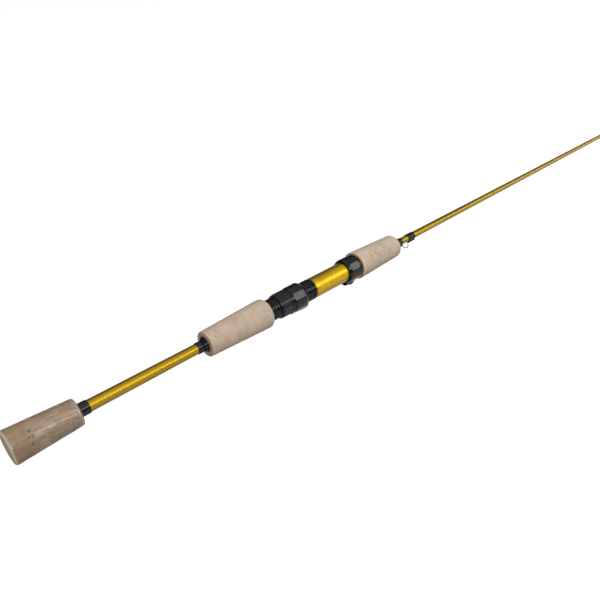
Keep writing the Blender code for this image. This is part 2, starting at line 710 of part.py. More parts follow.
def lock_nut(surface):
    """Fluted nut on the seat's thread, with a recess for the hood's neck."""
    angles = []
    half = 0.5 * NUT_FLUTE_WIDTH
    ridge = half + NUT_RIDGE_SLOPE
    for flute in range(NUT_FLUTES):
        middle = NUT_FLUTE_ANGLE + flute * tau / NUT_FLUTES
        angles += [middle - ridge, middle - half, middle + half, middle + ridge]
    angles = sorted(angle % tau for angle in angles)
    start = NUT_REST_STATION
    flute_end = NUT_END - NUT_RIM
    flutes = fluted(NUT_RADIUS, NUT_FLUTE_DEPTH)
    recess = THREAD_RADIUS + SLIDE_CLEARANCE + NECK_WALL + SEAT_GAP
    outline = [
        (start, NUT_RADIUS - NUT_BEVEL_DROP),
        (start + NUT_BEVEL, fluted(NUT_RADIUS, 0.5 * NUT_FLUTE_DEPTH)),
        (start + NUT_BEVEL + NUT_FLUTE_RUN, flutes),
        (flute_end - NUT_FLUTE_RUN, flutes),
        (flute_end, NUT_RADIUS),
        (NUT_END, NUT_RADIUS),
        (NUT_END, recess),
        (NUT_END - NUT_POCKET_LENGTH, recess),
    ]
    floor_station = NUT_END - NUT_POCKET_LENGTH
    form = thread_rings(start, floor_station, THREAD_CLEARANCE, THREAD_RADIUS + THREAD_CLEARANCE)
    bores = [end_loop(form, station) for station in (start, floor_station)]
    loops = [[form.verts.new(point) for point in ring_points(*point, angles)] for point in outline]
    join_rings(form, loops)
    for bore, loop in zip(bores, (loops[0], loops[-1])):
        zip_rims(form, bore, loop)
    finish("lock_nut", form, surface)


def faceted(radius, distance):
    """A round section with a broad flat on each upper side."""
    def section(angle):
        towards = max(cos(angle - HOOD_FACET_ANGLE), cos(angle + HOOD_FACET_ANGLE))
        return min(radius, distance / towards) if towards > 0.0 else radius
    return section


def facet_corners(radius, distance):
    """Angles at the edges of both flats."""
    half_facet = acos(distance / radius)
    corners = []
    for side in (-HOOD_FACET_ANGLE, HOOD_FACET_ANGLE):
        corners += [side - half_facet, side + half_facet]
    return corners


def sliding_hood(surface):
    """Hood keyed to the seat's flat, with a pocket for one end of the reel's foot."""
    bore = THREAD_RADIUS + SLIDE_CLEARANCE
    keyed = flatted(bore, BED_DISTANCE + SLIDE_CLEARANCE)
    angles = around(HOOD_FACETS, facet_corners(HOOD_RADIUS, HOOD_FACET_DISTANCE))
    block = boss(HOOD_BOSS_HEIGHT, HOOD_BOSS_HALF_WIDTH)
    low_block = boss(HOOD_BOSS_HEIGHT - HOOD_BOSS_REAR_DROP, HOOD_BOSS_HALF_WIDTH)
    lip_block = boss(HOOD_BOSS_HEIGHT - HOOD_BOSS_EDGE, HOOD_BOSS_HALF_WIDTH)
    body = faceted(HOOD_RADIUS, HOOD_FACET_DISTANCE)
    rear_body = faceted(NUT_RADIUS, HOOD_FACET_DISTANCE)
    facet_end = HOOD_START + HOOD_FACET_LENGTH
    rim = HOOD_RADIUS - HOOD_NOSE_DROP
    pocket = boss(HOOD_BOSS_HEIGHT - HOOD_WALL, HOOD_BOSS_HALF_WIDTH - HOOD_WALL)
    neck = bore + NECK_WALL
    neck_start = NUT_END - NUT_POCKET_LENGTH + SEAT_GAP

    def lipped(depth):
        """Station of the front edge, which reaches further forward over the pocket."""
        def station(angle):
            share = (cos(angle) - cos(HOOD_LIP_FROM)) / (cos(HOOD_LIP_FULL) - cos(HOOD_LIP_FROM))
            share = min(1.0, max(0.0, share))
            return HOOD_END - depth - HOOD_LIP * (1.0 - share)
        return station

    key_end = HOOD_START + HOOD_KEY_LENGTH
    outline = [
        (neck_start, neck),
        (HOOD_START, neck),
        (HOOD_START, NUT_RADIUS - HOOD_REAR_BEVEL),
        (HOOD_START + HOOD_REAR_BEVEL, widest(rear_body, low_block)),
        (HOOD_START + HOOD_REAR_FLARE, widest(body, low_block)),
        (facet_end, widest(body, block)),
        (facet_end + HOOD_FACET_STEP, widest(HOOD_RADIUS, block)),
        (lipped(HOOD_NOSE), widest(HOOD_RADIUS, block)),
        (lipped(0.4 * HOOD_NOSE), widest(HOOD_RADIUS - 0.5 * HOOD_NOSE_DROP, block)),
        (lipped(0.0), widest(rim, lip_block)),
        (lipped(0.0), widest(bore, pocket)),
        (key_end, widest(bore, pocket)),
        (key_end, keyed),
        (neck_start, keyed),
    ]
    turned("sliding_hood", outline, angles, surface)


def fixed_hood(surface):
    """Hood at the front of the seat, whose pocket takes the other end of the reel's foot."""
    bore = SLEEVE_RADIUS + SEAT_GAP
    pocket_block = boss(FIXED_MOUTH_HEIGHT - FIXED_POCKET_WALL, FIXED_MOUTH_HALF_WIDTH - FIXED_POCKET_WALL)
    pocket = widest(bore, pocket_block)
    start = FIXED_HOOD_START
    end = SEAT_END - SEAT_GAP
    edge_block = boss(FIXED_MOUTH_HEIGHT - FIXED_MOUTH_EDGE, FIXED_MOUTH_HALF_WIDTH - FIXED_MOUTH_EDGE)
    mouth_block = boss(FIXED_MOUTH_HEIGHT, FIXED_MOUTH_HALF_WIDTH)
    block = boss(FIXED_BOSS_HEIGHT, FIXED_BOSS_HALF_WIDTH)
    body = faceted(FIXED_HOOD_RADIUS, FIXED_FACET_DISTANCE)
    angles = around(HOOD_FACETS, facet_corners(FIXED_HOOD_RADIUS, FIXED_FACET_DISTANCE))
    pocket_end = start + FIXED_POCKET_DEPTH
    outline = [
        (start, widest(FIXED_HOOD_RADIUS - FIXED_REAR_DROP, edge_block)),
        (start + FIXED_REAR_BEVEL, widest(body, mouth_block)),
        (start + FIXED_BOSS_RUN, widest(body, block)),
        (end - FIXED_FRONT_BEVEL, body),
        (end, FIXED_HOOD_RADIUS - FIXED_FRONT_DROP),
        (end, bore),
        (pocket_end + FIXED_POCKET_SLOPE, bore),
        (pocket_end, pocket),
        (start, pocket),
    ]
    turned("fixed_hood", outline, angles, surface)


def tip_blank(surface):
    """Solid tip section whose flared ferrule slides over the end of the butt section."""
    bore_end = BUTT_BLANK_END + SEAT_GAP
    tip_end = TIP_TOP_END - TIP_TUBE_WALL - SEAT_GAP
    outline = [
        (bore_end, blank_radius(BUTT_BLANK_END) + FERRULE_CLEARANCE),
        (TIP_SECTION_START, blank_radius(TIP_SECTION_START) + FERRULE_CLEARANCE),
    ]
    for station in (TIP_SECTION_START, BUTT_BLANK_END, ferrule_end(), tip_end):
        outline.append((station, tip_radius(station)))
    turned("tip_blank", outline, around(BLANK_FACETS), surface, capped=True)


def hoop_outline(station, radius, half_length, half_wall):
    """Rounded section of a small ring, as points in order."""
    points = []
    for step in range(SECTION_FACETS):
        turn = tau * (step + 0.5) / SECTION_FACETS
        points.append((station + half_length * cos(turn), radius + half_wall * sin(turn)))
    return points


def strip(name, route, half_width, thickness, surface):
    """A bent flat bar along points in the plane y = 0."""
    rings = []
    for index, point in enumerate(route):
        before = Vector(route[max(0, index - 1)])
        after = Vector(route[min(len(route) - 1, index + 1)])
        along = (after - before).normalized()
        normal = Vector((-along.y, along.x)) * 0.5 * thickness
        upper = Vector(point) + normal
        lower = Vector(point) - normal
        rings.append([
            (upper.x, -half_width, upper.y),
            (upper.x, half_width, upper.y),
            (lower.x, half_width, lower.y),
            (lower.x, -half_width, lower.y),
        ])
    return finish(name, skin(rings, True), surface)


def foot_half_width(base):
    """Half the width of a guide's foot on a blank of this radius."""
    return min(FOOT_HALF_WIDTH, FOOT_WIDTH_LIMIT * base)


def guide(name, place, diameter, standoff, two_feet, metal, ceramic, thread):
    """One line guide: a metal frame, a ceramic ring in it and a winding over each foot."""
    base = tip_radius(place)
    middle = -(base + standoff + 0.5 * diameter)
    hoop = 0.5 * (diameter - HOLDER_WALL)
    frame = turned(
        name + "_frame",
        hoop_outline(place, hoop, HOLDER_HALF_LENGTH, 0.5 * HOLDER_WALL),
        around(RING_FACETS), metal, centre=(0.0, middle),
    )
    ring_radius = 0.5 * diameter - HOLDER_WALL - 0.5 * SEAT_GAP - 0.5 * RING_WALL
    turned(
        name + "_ring",
        hoop_outline(place, ring_radius, RING_HALF_LENGTH, 0.5 * RING_WALL),
        around(RING_FACETS), ceramic, centre=(0.0, middle),
    )
    half_width = foot_half_width(base)
    leg_run = LEG_SPREAD * standoff + LEG_KNEE_RUN
    top = middle + hoop
    sides = (-1, 1) if two_feet else (1,)
    for side in sides:
        knee = place + side * leg_run
        toe = knee + side * FOOT_LENGTH

        def foot_line(station):
            return -(tip_radius(station) + WINDING_GAP + 0.5 * FOOT_THICKNESS)

        route = [(place, top), (knee, foot_line(knee)), (toe, foot_line(toe))]
        leg = strip(name + "_leg_guide" + str(side), route, half_width, FOOT_THICKNESS, metal)
        combine(frame, leg, "UNION")
        near = knee + side * GUIDE_WINDING_MARGIN
        far = toe + side * GUIDE_WINDING_MARGIN
        label = "_winding"
        if two_feet:
            label = "_rear_winding" if side < 0 else "_front_winding"
        foot = {"angle": 0.0, "half_width": half_width, "thickness": FOOT_THICKNESS}
        winding(name + label, min(near, far), max(near, far), tip_radius, thread, foot)


def guides(metal, ceramic, thread):
    """Six guides, spaced further apart towards the butt."""
    place = ROD_LENGTH
    spacing = GUIDE_FIRST_SPACING
    places = []
    for _ in GUIDE_NAMES:
        place -= spacing
        spacing *= GUIDE_SPACING_GROWTH
        places.append(place)
    for index, name in enumerate(GUIDE_NAMES):
        guide(
            name, places[len(places) - 1 - index], GUIDE_RING_DIAMETERS[index], GUIDE_STANDOFFS[index],
            index < TWO_FOOT_GUIDES, metal, ceramic, thread,
        )


def tip_top(metal, ceramic, thread):
    """Capped tube on the tip with a ring hanging from it, and a winding behind it."""
    end = TIP_TOP_END
    start = end - TIP_TUBE_LENGTH
    inner = tip_radius(start) + WINDING_GAP
    outer = inner + TIP_TUBE_WALL
    outline = [(end - TIP_TUBE_WALL, inner), (start, inner), (start, outer), (end, outer)]
    frame = turned("tip_top_frame", outline, around(RING_FACETS), metal, capped=True)
    centre = end - HOLDER_HALF_LENGTH
    middle = -(outer + TIP_RING_DROP)
    hoop_radius = 0.5 * (TIP_RING_DIAMETER - HOLDER_WALL)
    hoop = turned(
        "tip_hoop_guide", hoop_outline(centre, hoop_radius, HOLDER_HALF_LENGTH, 0.5 * HOLDER_WALL),
        around(RING_FACETS), metal, centre=(0.0, middle),
    )
    combine(frame, hoop, "UNION")
    neck = [(centre, -inner - 0.5 * TIP_TUBE_WALL), (centre, middle + hoop_radius)]
    leg = strip("tip_leg_guide", neck, TIP_LEG_HALF_WIDTH, TIP_LEG_THICKNESS, metal)
    combine(frame, leg, "UNION")
    ring_radius = 0.5 * TIP_RING_DIAMETER - HOLDER_WALL - 0.5 * SEAT_GAP - 0.5 * RING_WALL
    turned(
        "tip_top_ring", hoop_outline(centre, ring_radius, RING_HALF_LENGTH, 0.5 * RING_WALL),
        around(RING_FACETS), ceramic, centre=(0.0, middle),
    )
    back = start - SEAT_GAP
    winding("tip_top_winding", back - TIP_WINDING_LENGTH, back, tip_radius, thread)


def ferrule_winding(surface):
    """Winding that keeps the ferrule from splitting."""
    start = TIP_SECTION_START + FERRULE_WINDING_INSET
    winding("ferrule_winding", start, start + FERRULE_WINDING_LENGTH, tip_radius, surface)


def build():
    """Clears the scene and makes every piece of the rod."""
    for old in list(bpy.data.objects):
        bpy.data.objects.remove(old)
    butt_blank(GOLD)
    rear_grip(BUTT_CORK)
    grip_film(CLEAR_FILM)
    mid_grip(CORK)
    fore_grip(CORK)
    grip_windings(THREAD)
    winding_check(PLASTIC)
    hook_keeper(STEEL)
    seat_body(PLASTIC)
    seat_sleeve(GOLD)
    seat_arbors(PAPER)
    lock_nut(PLASTIC)
    sliding_hood(PLASTIC)
    fixed_hood(PLASTIC)
    tip_blank(GOLD)
    ferrule_winding(THREAD)
    guides(STEEL, CERAMIC, THREAD)
    tip_top(STEEL, CERAMIC, THREAD)


build()
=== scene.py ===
"""The look of a two-piece light spinning rod with split cork grips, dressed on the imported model.

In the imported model's frame +X runs from the butt to the tip, +Z is up, and the origin is the centre of the
butt grip's flat end. Angles round the rod start at -Z and grow the way a right-hand screw turns about +X.
The rod's sizes repeat the values of the part's source. They are in millimetres, and in metres once a mesh
is made. The camera, the lamps and the floor are in metres.
"""

from functools import cache, reduce
from math import acos, atan2, ceil, copysign, cos, hypot, pi, radians, sin, sqrt, tau

import bmesh
import bpy
from mathutils import Matrix, Vector, noise


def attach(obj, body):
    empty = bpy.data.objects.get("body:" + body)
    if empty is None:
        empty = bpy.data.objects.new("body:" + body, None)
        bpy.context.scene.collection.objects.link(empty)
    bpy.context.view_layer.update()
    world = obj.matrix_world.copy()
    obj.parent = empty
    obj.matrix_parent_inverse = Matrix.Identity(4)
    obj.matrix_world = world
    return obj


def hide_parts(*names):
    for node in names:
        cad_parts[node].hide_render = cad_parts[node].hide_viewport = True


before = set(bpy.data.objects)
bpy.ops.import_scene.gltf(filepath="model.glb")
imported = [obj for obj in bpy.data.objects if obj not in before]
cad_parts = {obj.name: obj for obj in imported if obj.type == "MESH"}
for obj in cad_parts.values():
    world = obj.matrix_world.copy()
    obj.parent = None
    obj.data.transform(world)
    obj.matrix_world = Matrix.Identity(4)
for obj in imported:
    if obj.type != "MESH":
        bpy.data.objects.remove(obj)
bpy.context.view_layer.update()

MM = 0.001

# Clearances between pieces
SEAT_GAP = 0.3
WINDING_GAP = 0.2
SLIDE_GAP = 0.3
FERRULE_GAP = 0.25

# The rod and its two sections
ROD_LENGTH = 1981.0
TIP_SECTION_START = 972.0
BUTT_BLANK_END = TIP_SECTION_START + 60.0
FERRULE_END = BUTT_BLANK_END + SEAT_GAP + 22.0
BLANK_START = 9.0
BLANK_WALL = 1.3
FERRULE_WALL = 0.85
BLANK_TAPER = ((0.0, 5.1), (300.0, 4.1), (BUTT_BLANK_END, 2.725))
TIP_BASE_RADIUS = 2.8
TIP_END_RADIUS = 0.9

# Cork grips
CORK_RING = 12.7
REAR_GRIP_LENGTH = 4 * CORK_RING
REAR_GRIP_RADIUS = 13.45
REAR_GRIP_FRONT_RADIUS = 10.85
REAR_GRIP_EDGE = 2.2
GRIP_EDGE = 0.8
GRIP_NOSE = 3.8
MID_GRIP_START = 164.7
MID_GRIP_END = MID_GRIP_START + 5.32 * CORK_RING
MID_GRIP = (MID_GRIP_START, 11.6), (MID_GRIP_END, 14.1)
CORK_STAINS = (
    (15.0, radians(210.0), 1.4),
    (13.3, radians(229.0), 0.8),
    (15.8, radians(229.0), 0.8),
    (13.7, radians(252.0), 1.2),
)
STAIN_STRENGTH = 0.75
CORK_SEAM = (0.22, 0.06)
CORK_RIM_DEPTH = (1.3, 0.2)
CORK_RIM_WIDTH = (2.6, 0.4)
BUTT_HUB_RADIUS = 0.6
PIT_LEVELS = (0.62, 0.8)
CORK_ROUGHNESS = 0.03
FILM_CLINGS = (11.0, 21.0)
FILM_THICKNESS = 0.2
FILM_EDGE = 0.06
FILM_START = 1.1
FILM_END = REAR_GRIP_LENGTH - 1.2
FILM_REAR_WRINKLES = 9.0
FILM_FRONT_WRINKLES = 7.0
FILM_WRINKLE_DEPTH = 0.1

# Windings
WINDING_THICKNESS = 0.4
WINDING_RAMP = 0.7
WINDING_END_SHARE = 0.25
BUMP_TOP = 1.15
BUMP_FOOT = 2.1
THREAD_STEP = 0.32
ROWS_PER_TURN = 4.0
THREAD_RELIEF = 0.035
REAR_WINDING_LENGTH = 8.0
MID_WINDING_LENGTH = 5.3
VARNISH_RUN = 0.22
CHECK_LENGTH = 3.4
CHECK_RADIUS = 7.4
CHECK_LIP = 0.8
FRONT_WINDING_LENGTH = 11.6
FERRULE_WINDING = (TIP_SECTION_START + 2.0, TIP_SECTION_START + 28.0)

# Reel seat
SEAT_START = MID_GRIP_END + SEAT_GAP
SEAT_END = SEAT_START + 119.986
THREAD_RADIUS = 10.3
SEAT_BORE_RADIUS = 0.7185 * THREAD_RADIUS
THREAD_DEPTH = 0.8
THREAD_PITCH = 3.3
THREAD_FLANK = (0.36, 0.17)
THREAD_RUN_OUT = 0.35 * THREAD_PITCH
THREAD_ROW = 0.14
COLLAR_EDGE = 0.25
COLLAR_CHAMFER = 0.07
THREAD_END = SEAT_START + 53.936
COLLAR_END = THREAD_END + 2.9
BED_DISTANCE = 9.15
SLEEVE_RADIUS = 10.2
SLEEVE_WALL = 0.6

# Lock nut
NUT_RADIUS = 12.1
NUT_START = 243.7
NUT_END = NUT_START + 14.6
NUT_BEVEL = 1.9
NUT_BEVEL_DROP = 1.1
NUT_RIM = 2.2
NUT_FLUTES = 12
FLUTE_FACETS = 24
FLUTE_RUN = 0.5
NUT_FLUTE_DEPTH = 0.6
NUT_FLUTE_EDGE = (radians(8.8), radians(13.2))
NUT_FLUTE_ANGLE = radians(13.5)
NUT_POCKET = 1.6
NECK_WALL = 0.6

# Sliding hood, with the height and half width of the block round its pocket
HOOD_START = NUT_END + SEAT_GAP
HOOD_END = HOOD_START + 21.6
HOOD_RADIUS = 12.7
HOOD_FACET_DISTANCE = 12.16
HOOD_FACET_ANGLE = radians(130.5)
HOOD_LIP = 4.4
HOOD_LIP_FROM = radians(75.0)
HOOD_LIP_FULL = radians(40.0)
HOOD_FACET_END = HOOD_START + 13.8
HOOD_FACET_STEP = 0.5
HOOD_REAR_STEP = 0.4
HOOD_REAR_RUN = 2.2
HOOD_BOSS_TAPER = 1.2
HOOD_BOSS_EDGE = 0.5
HOOD_NOSE = 2.4
HOOD_NOSE_DROP = 1.6
HOOD_KEY_LENGTH = 7.0
HOOD_BOSS = (14.2, 6.8)
HOOD_WALL = 1.5
BOSS_SQUARENESS = 6.0
FILLET_SHARPNESS = 26.0

# Fixed hood, with the height and half width of its mouth and of the block round it
FIXED_HOOD_START = SEAT_END - 18.5
FIXED_HOOD_RADIUS = 12.8
FIXED_FACET_DISTANCE = 12.25
FIXED_FACET_START = FIXED_HOOD_START + 3.9
FIXED_FACET_END = SEAT_END - 3.4
FIXED_REAR_BEVEL = 2.3
FIXED_REAR_DROP = 0.9
FIXED_FRONT_BEVEL = 1.6
FIXED_FRONT_DROP = 0.4
FIXED_MOUTH = (14.5, 7.2)
FIXED_MOUTH_EDGE = 0.4
FIXED_BOSS = (16.4, 8.0)
FIXED_BOSS_RUN = 9.0
FIXED_POCKET_WALL = 1.0
FIXED_POCKET_END = FIXED_HOOD_START + 9.3
FIXED_POCKET_SLOPE = 5.0

# Fore grip and hook keeper
FORE_GRIP_START = SEAT_END + SEAT_GAP
FORE_GRIP_END = FORE_GRIP_START + 5 * CORK_RING
FORE_GRIP = (FORE_GRIP_START, 14.4), (FORE_GRIP_END, 12.3)
KEEPER_GAP_START = FORE_GRIP_END + SEAT_GAP + 12.4
KEEPER_GAP_END = KEEPER_GAP_START + 10.6
KEEPER_WIRE_RADIUS = 0.42
KEEPER_ANGLE = radians(-40.0)
KEEPER_RISE = 5.8
KEEPER_FOOT = 6.0
KEEPER_BEND = 0.7
KEEPER_BEND_STEPS = 8
KEEPER_LOOP_STEPS = 40

# Guides: each one's name, ring diameter and height of the ring over the blank
GUIDES = (
    ("stripper_guide", 16.0, 8.5),
    ("second_guide", 12.0, 6.0),
    ("third_guide", 10.0, 4.6),
    ("fourth_guide", 8.0, 3.6),
    ("fifth_guide", 7.0, 3.0),
    ("sixth_guide", 6.0, 2.6),
)
TWO_FOOT_GUIDES = 2
TWO_FEET = ((-1, "_rear_winding"), (1, "_front_winding"))
ONE_FOOT = ((1, "_winding"),)
GUIDE_FIRST_SPACING = 0.04645 * ROD_LENGTH
GUIDE_SPACING_GROWTH = 1.19
FOOT_LENGTH = 11.0
FOOT_THICKNESS = 0.5
FOOT_HALF_WIDTH = 1.2
FOOT_WIDTH_LIMIT = 0.8
LEG_SPREAD = 0.75
LEG_KNEE_RUN = 1.5
LEG_BEND = 1.2
LEG_BEND_STEPS = 6
LEG_TOP_WIDTH = 0.9
LEG_TOP_THICKNESS = 1.2
TOE_TAPER = ((0.5, 1.0, 1.0), (0.75, 0.85, 0.8), (0.92, 0.6, 0.55), (1.0, 0.35, 0.4))
BAR_SQUARENESS = (0.35, 0.6)
WINDING_MARGIN = 1.5
HOLDER_WALL = 0.8
HOLDER_HALF_LENGTH = 0.7
RING_WALL = 0.9
RING_HALF_LENGTH = 0.9
TIP_TOP_END = ROD_LENGTH - (RING_HALF_LENGTH - HOLDER_HALF_LENGTH)
TIP_TUBE_LENGTH = 12.0
TIP_TUBE_WALL = 0.4
TIP_RING_DIAMETER = 6.0
TIP_RING_DROP = 4.6
TIP_LEG_HALF_WIDTH = 0.7
TIP_LEG_THICKNESS = 1.0
TIP_WINDING_LENGTH = 9.0

# Facets and steps
GRIP_FACETS = 180
SEAT_FACETS = 144
BLANK_FACETS = 72
WINDING_FACETS = 56
RING_FACETS = 56
SECTION_FACETS = 14
CORNER_STEPS = 4
CORNER_REACH = 0.48
SHARP_ANGLE = radians(40.0)
FINE_EDGE = 0.1
SOFT_EDGE = 0.3
CORK_MESH = 0.55
FILM_MESH = 0.9
PLASTIC_MESH = 1.2
CHECK_MESH = 1.0
SLEEVE_MESH = 8.0
BLANK_MESH = 60.0
FERRULE_BLEND = 8.0

# Finishes: two shades of each, and for cork its light, dark, spots and rim, the rim being the rear face's own
# tone lifted with painted light
WHITE = (1.0, 1.0, 1.0, 1.0)
NOISE_SPAN = (0.3, 0.7)
CORK_SPOTS = (0.15, 0.092, 0.056)
FILMED_CORK = (0.265, 0.187, 0.112), (0.17, 0.114, 0.065), (0.1, 0.075, 0.06), (0.8, 0.7, 0.55)
MIDDLE_CORK = (0.455, 0.365, 0.28), (0.36, 0.265, 0.19), CORK_SPOTS, (0.6, 0.39, 0.25)
FORE_CORK = (0.47, 0.385, 0.305), (0.36, 0.27, 0.2), CORK_SPOTS, (0.8, 0.46, 0.24)
STAIN_COLOUR = (0.07, 0.058, 0.062)
FILM_COLOUR = (1.0, 0.94, 0.9, 1.0)
VARNISH_SHADES = (0.31, 0.19, 0.002), (0.43, 0.265, 0.004)
ANODISED_SHADES = (0.53, 0.335, 0.003), (0.65, 0.41, 0.007)
THREAD_SHADES = (0.001, 0.001, 0.0014), (0.004, 0.0044, 0.0052)
SATIN_PLASTIC = "satin_plastic", ((0.004, 0.0046, 0.0052), (0.0075, 0.0086, 0.0095)), 0.2, 0.25
HOOD_PLASTIC = "hood_plastic", ((0.001, 0.0012, 0.0015), (0.0018, 0.0021, 0.0025)), 0.18, 0.32
STEEL_SHADES = (0.012, 0.013, 0.015), (0.035, 0.036, 0.04)
STEEL_TINT = (0.16, 0.16, 0.17, 1.0)
CERAMIC_SHADES = (0.035, 0.04, 0.045), (0.075, 0.08, 0.09)
PAPER_SHADES = (0.62, 0.5, 0.33), (0.42, 0.32, 0.2)
PAPER_LAYER = 0.15
# How far round the gold colours darken towards a slanting view, and how dark they get: painted shade on the
# round edges
GOLD_SLANT_SHADE = (0.45, 0.45)
BLACK_SLANT = (0.6, 0.3)

# Camera and light, with each lamp's name, elevation, height and radiance
CAMERA_PLACE = (-0.0444, -0.33427, 0.29818)
CAMERA_RIGHT = (0.72005, -0.69389, -0.00571)
CAMERA_UP = (0.3849, 0.39253, 0.83533)
CAMERA_LENS = 34.7
CAMERA_SENSOR = 36.0
CAMERA_NEAR = 0.01
FLOOR_HEIGHT = -0.12
FLOOR_HALF_SIZE = 9.0
FLOOR_COLOUR = (0.22, 0.22, 0.22, 1.0)
FLOOR_GLOW = 0.86
WORLD_LEVEL = 0.12
SKY_LEVEL = 1.1
SKY_CENTRE = (0.0, 0.2, 0.98)
SKY_EDGE = 0.5
LAMP_DISTANCE = 1.486
LAMP_STATION = 1.4
LAMP_LENGTH = 6.4
LAMPS = (("key", radians(40.0), 0.48, 4.9), ("fill", radians(48.0), 1.5, 0.36))


def smooth(value, low, high):
    """A soft step from 0 at low to 1 at high."""
    share = min(1.0, max(0.0, (value - low) / (high - low)))
    return share * share * (3.0 - 2.0 * share)


def value_at(value, angle):
    """A size that is the same all round, or one that depends on the angle."""
    return value(angle) if callable(value) else value


def outward(angle, radius):
    """The point at an angle and a radius, looking along the rod."""
    return sin(angle) * radius, -cos(angle) * radius


def even(count):
    """Evenly spaced angles round the rod."""
    return [tau * step / count for step in range(count)]


def ring_of(station, angles, radius, drop=0.0):
    """A ring of points round an axis along the rod, with a radius that may depend on the angle."""
    places = [outward(angle, value_at(radius, angle)) for angle in angles]
    return [(station, y, drop + z) for y, z in places]


class Nodes:
    """Short calls that add nodes to a tree and join them."""

    def __init__(self, tree):
        self.tree = tree

    def put(self, node, socket, value):
        """Joins another node's output to a socket, or sets its value."""
        if isinstance(value, bpy.types.NodeSocket):
            self.tree.links.new(value, node.inputs[socket])
        else:
            node.inputs[socket].default_value = value

    def node(self, kind, inputs=None, **settings):
        """One new node."""
        made = self.tree.nodes.new("ShaderNode" + kind)
        for setting, value in settings.items():
            setattr(made, setting, value)
        for socket, value in (inputs or {}).items():
            self.put(made, socket, value)
        return made

    def math(self, operation, first, second=0.0):
        """One sum."""
        return self.node("Math", {0: first, 1: second}, operation=operation).outputs[0]

    def times(self, *values):
        """The product of several values."""
        return reduce(lambda first, second: self.math("MULTIPLY", first, second), values)

    def vector(self, operation, *values):
        """One sum with vectors, which gives a vector or a number."""
        made = self.node("VectorMath", dict(enumerate(values)), operation=operation)
        return made.outputs["Value" if operation in ("DISTANCE", "DOT_PRODUCT", "LENGTH") else "Vector"]

    def step(self, value, low, high, first=0.0, last=1.0):
        """A soft step of a value between two levels."""
        inputs = {"Value": value, "From Min": low, "From Max": high, "To Min": first, "To Max": last}
        return self.node("MapRange", inputs, interpolation_type="SMOOTHSTEP").outputs[0]

    def mix(self, share, first, second, blend="MIX"):
        """A colour between two others, or blended from them."""
        inputs = {0: share}
        for socket, colour in ((6, first), (7, second)):
            inputs[socket] = colour if isinstance(colour, bpy.types.NodeSocket) else (*colour, 1.0)
        return self.node("Mix", inputs, data_type="RGBA", blend_type=blend).outputs[2]


class Surface(Nodes):
    """A material on the rod's own coordinates."""

    def __init__(self, name, **values):
        self.material = bpy.data.materials.new(name)
        self.material.use_nodes = True
        super().__init__(self.material.node_tree)
        self.shader = self.tree.nodes["Principled BSDF"]
        for socket, value in values.items():
            self.put(self.shader, socket.replace("_", " "), value)
        self.place = self.vector("MULTIPLY", self.node("TexCoord").outputs["Object"], [1.0 / MM] * 3)
        self.x = self.node("SeparateXYZ", {0: self.place}).outputs[0]

    def stretched(self, along, across):
        """The place in millimetres, stretched along the rod and across it."""
        return self.vector("MULTIPLY", self.place, (along, across, across))

    def noise(self, along, across, detail=2.0, roughness=0.5):
        """Soft noise with about this many lumps a millimetre, along the rod and across it."""
        place = self.stretched(along, across)
        inputs = {"Vector": place, "Scale": 1.0, "Detail": detail, "Roughness": roughness}
        return self.node("TexNoise", inputs).outputs[0]

    def swing(self, value, weight):
        """How far a noise lies from its middle, times a weight."""
        return self.times(self.math("SUBTRACT", value, 0.5), weight)

    def radius(self):
        """Distance from the rod's axis."""
        return self.vector("LENGTH", self.stretched(0.0, 1.0))

    def turning(self, end, last):
        """A level that falls from one where the rod's round side turns away from the eye."""
        geometry = self.node("NewGeometry").outputs
        eye = self.vector("NORMALIZE", self.vector("MULTIPLY", geometry["Incoming"], (0.0, 1.0, 1.0)))
        return self.step(self.vector("DOT_PRODUCT", eye, geometry["Normal"]), 1.0 - end, 1.0, last, 1.0)

    def slant_shaded(self, colour):
        """A metallic colour with painted shade: darker where the round side is seen at a slant."""
        return self.mix(1.0, colour, self.turning(*GOLD_SLANT_SHADE), "MULTIPLY")

    def finish(self, colour, roughness, height=None, depth=0.0, strength=1.0):
        """The material with its colour, its roughness and a relief too fine for the mesh."""
        self.put(self.shader, "Base Color", colour)
        self.put(self.shader, "Roughness", roughness)
        if height is not None:
            relief = self.node("Bump", {"Height": height, "Distance": depth * MM, "Strength": strength})
            self.put(self.shader, "Normal", relief.outputs[0])
        return self.material


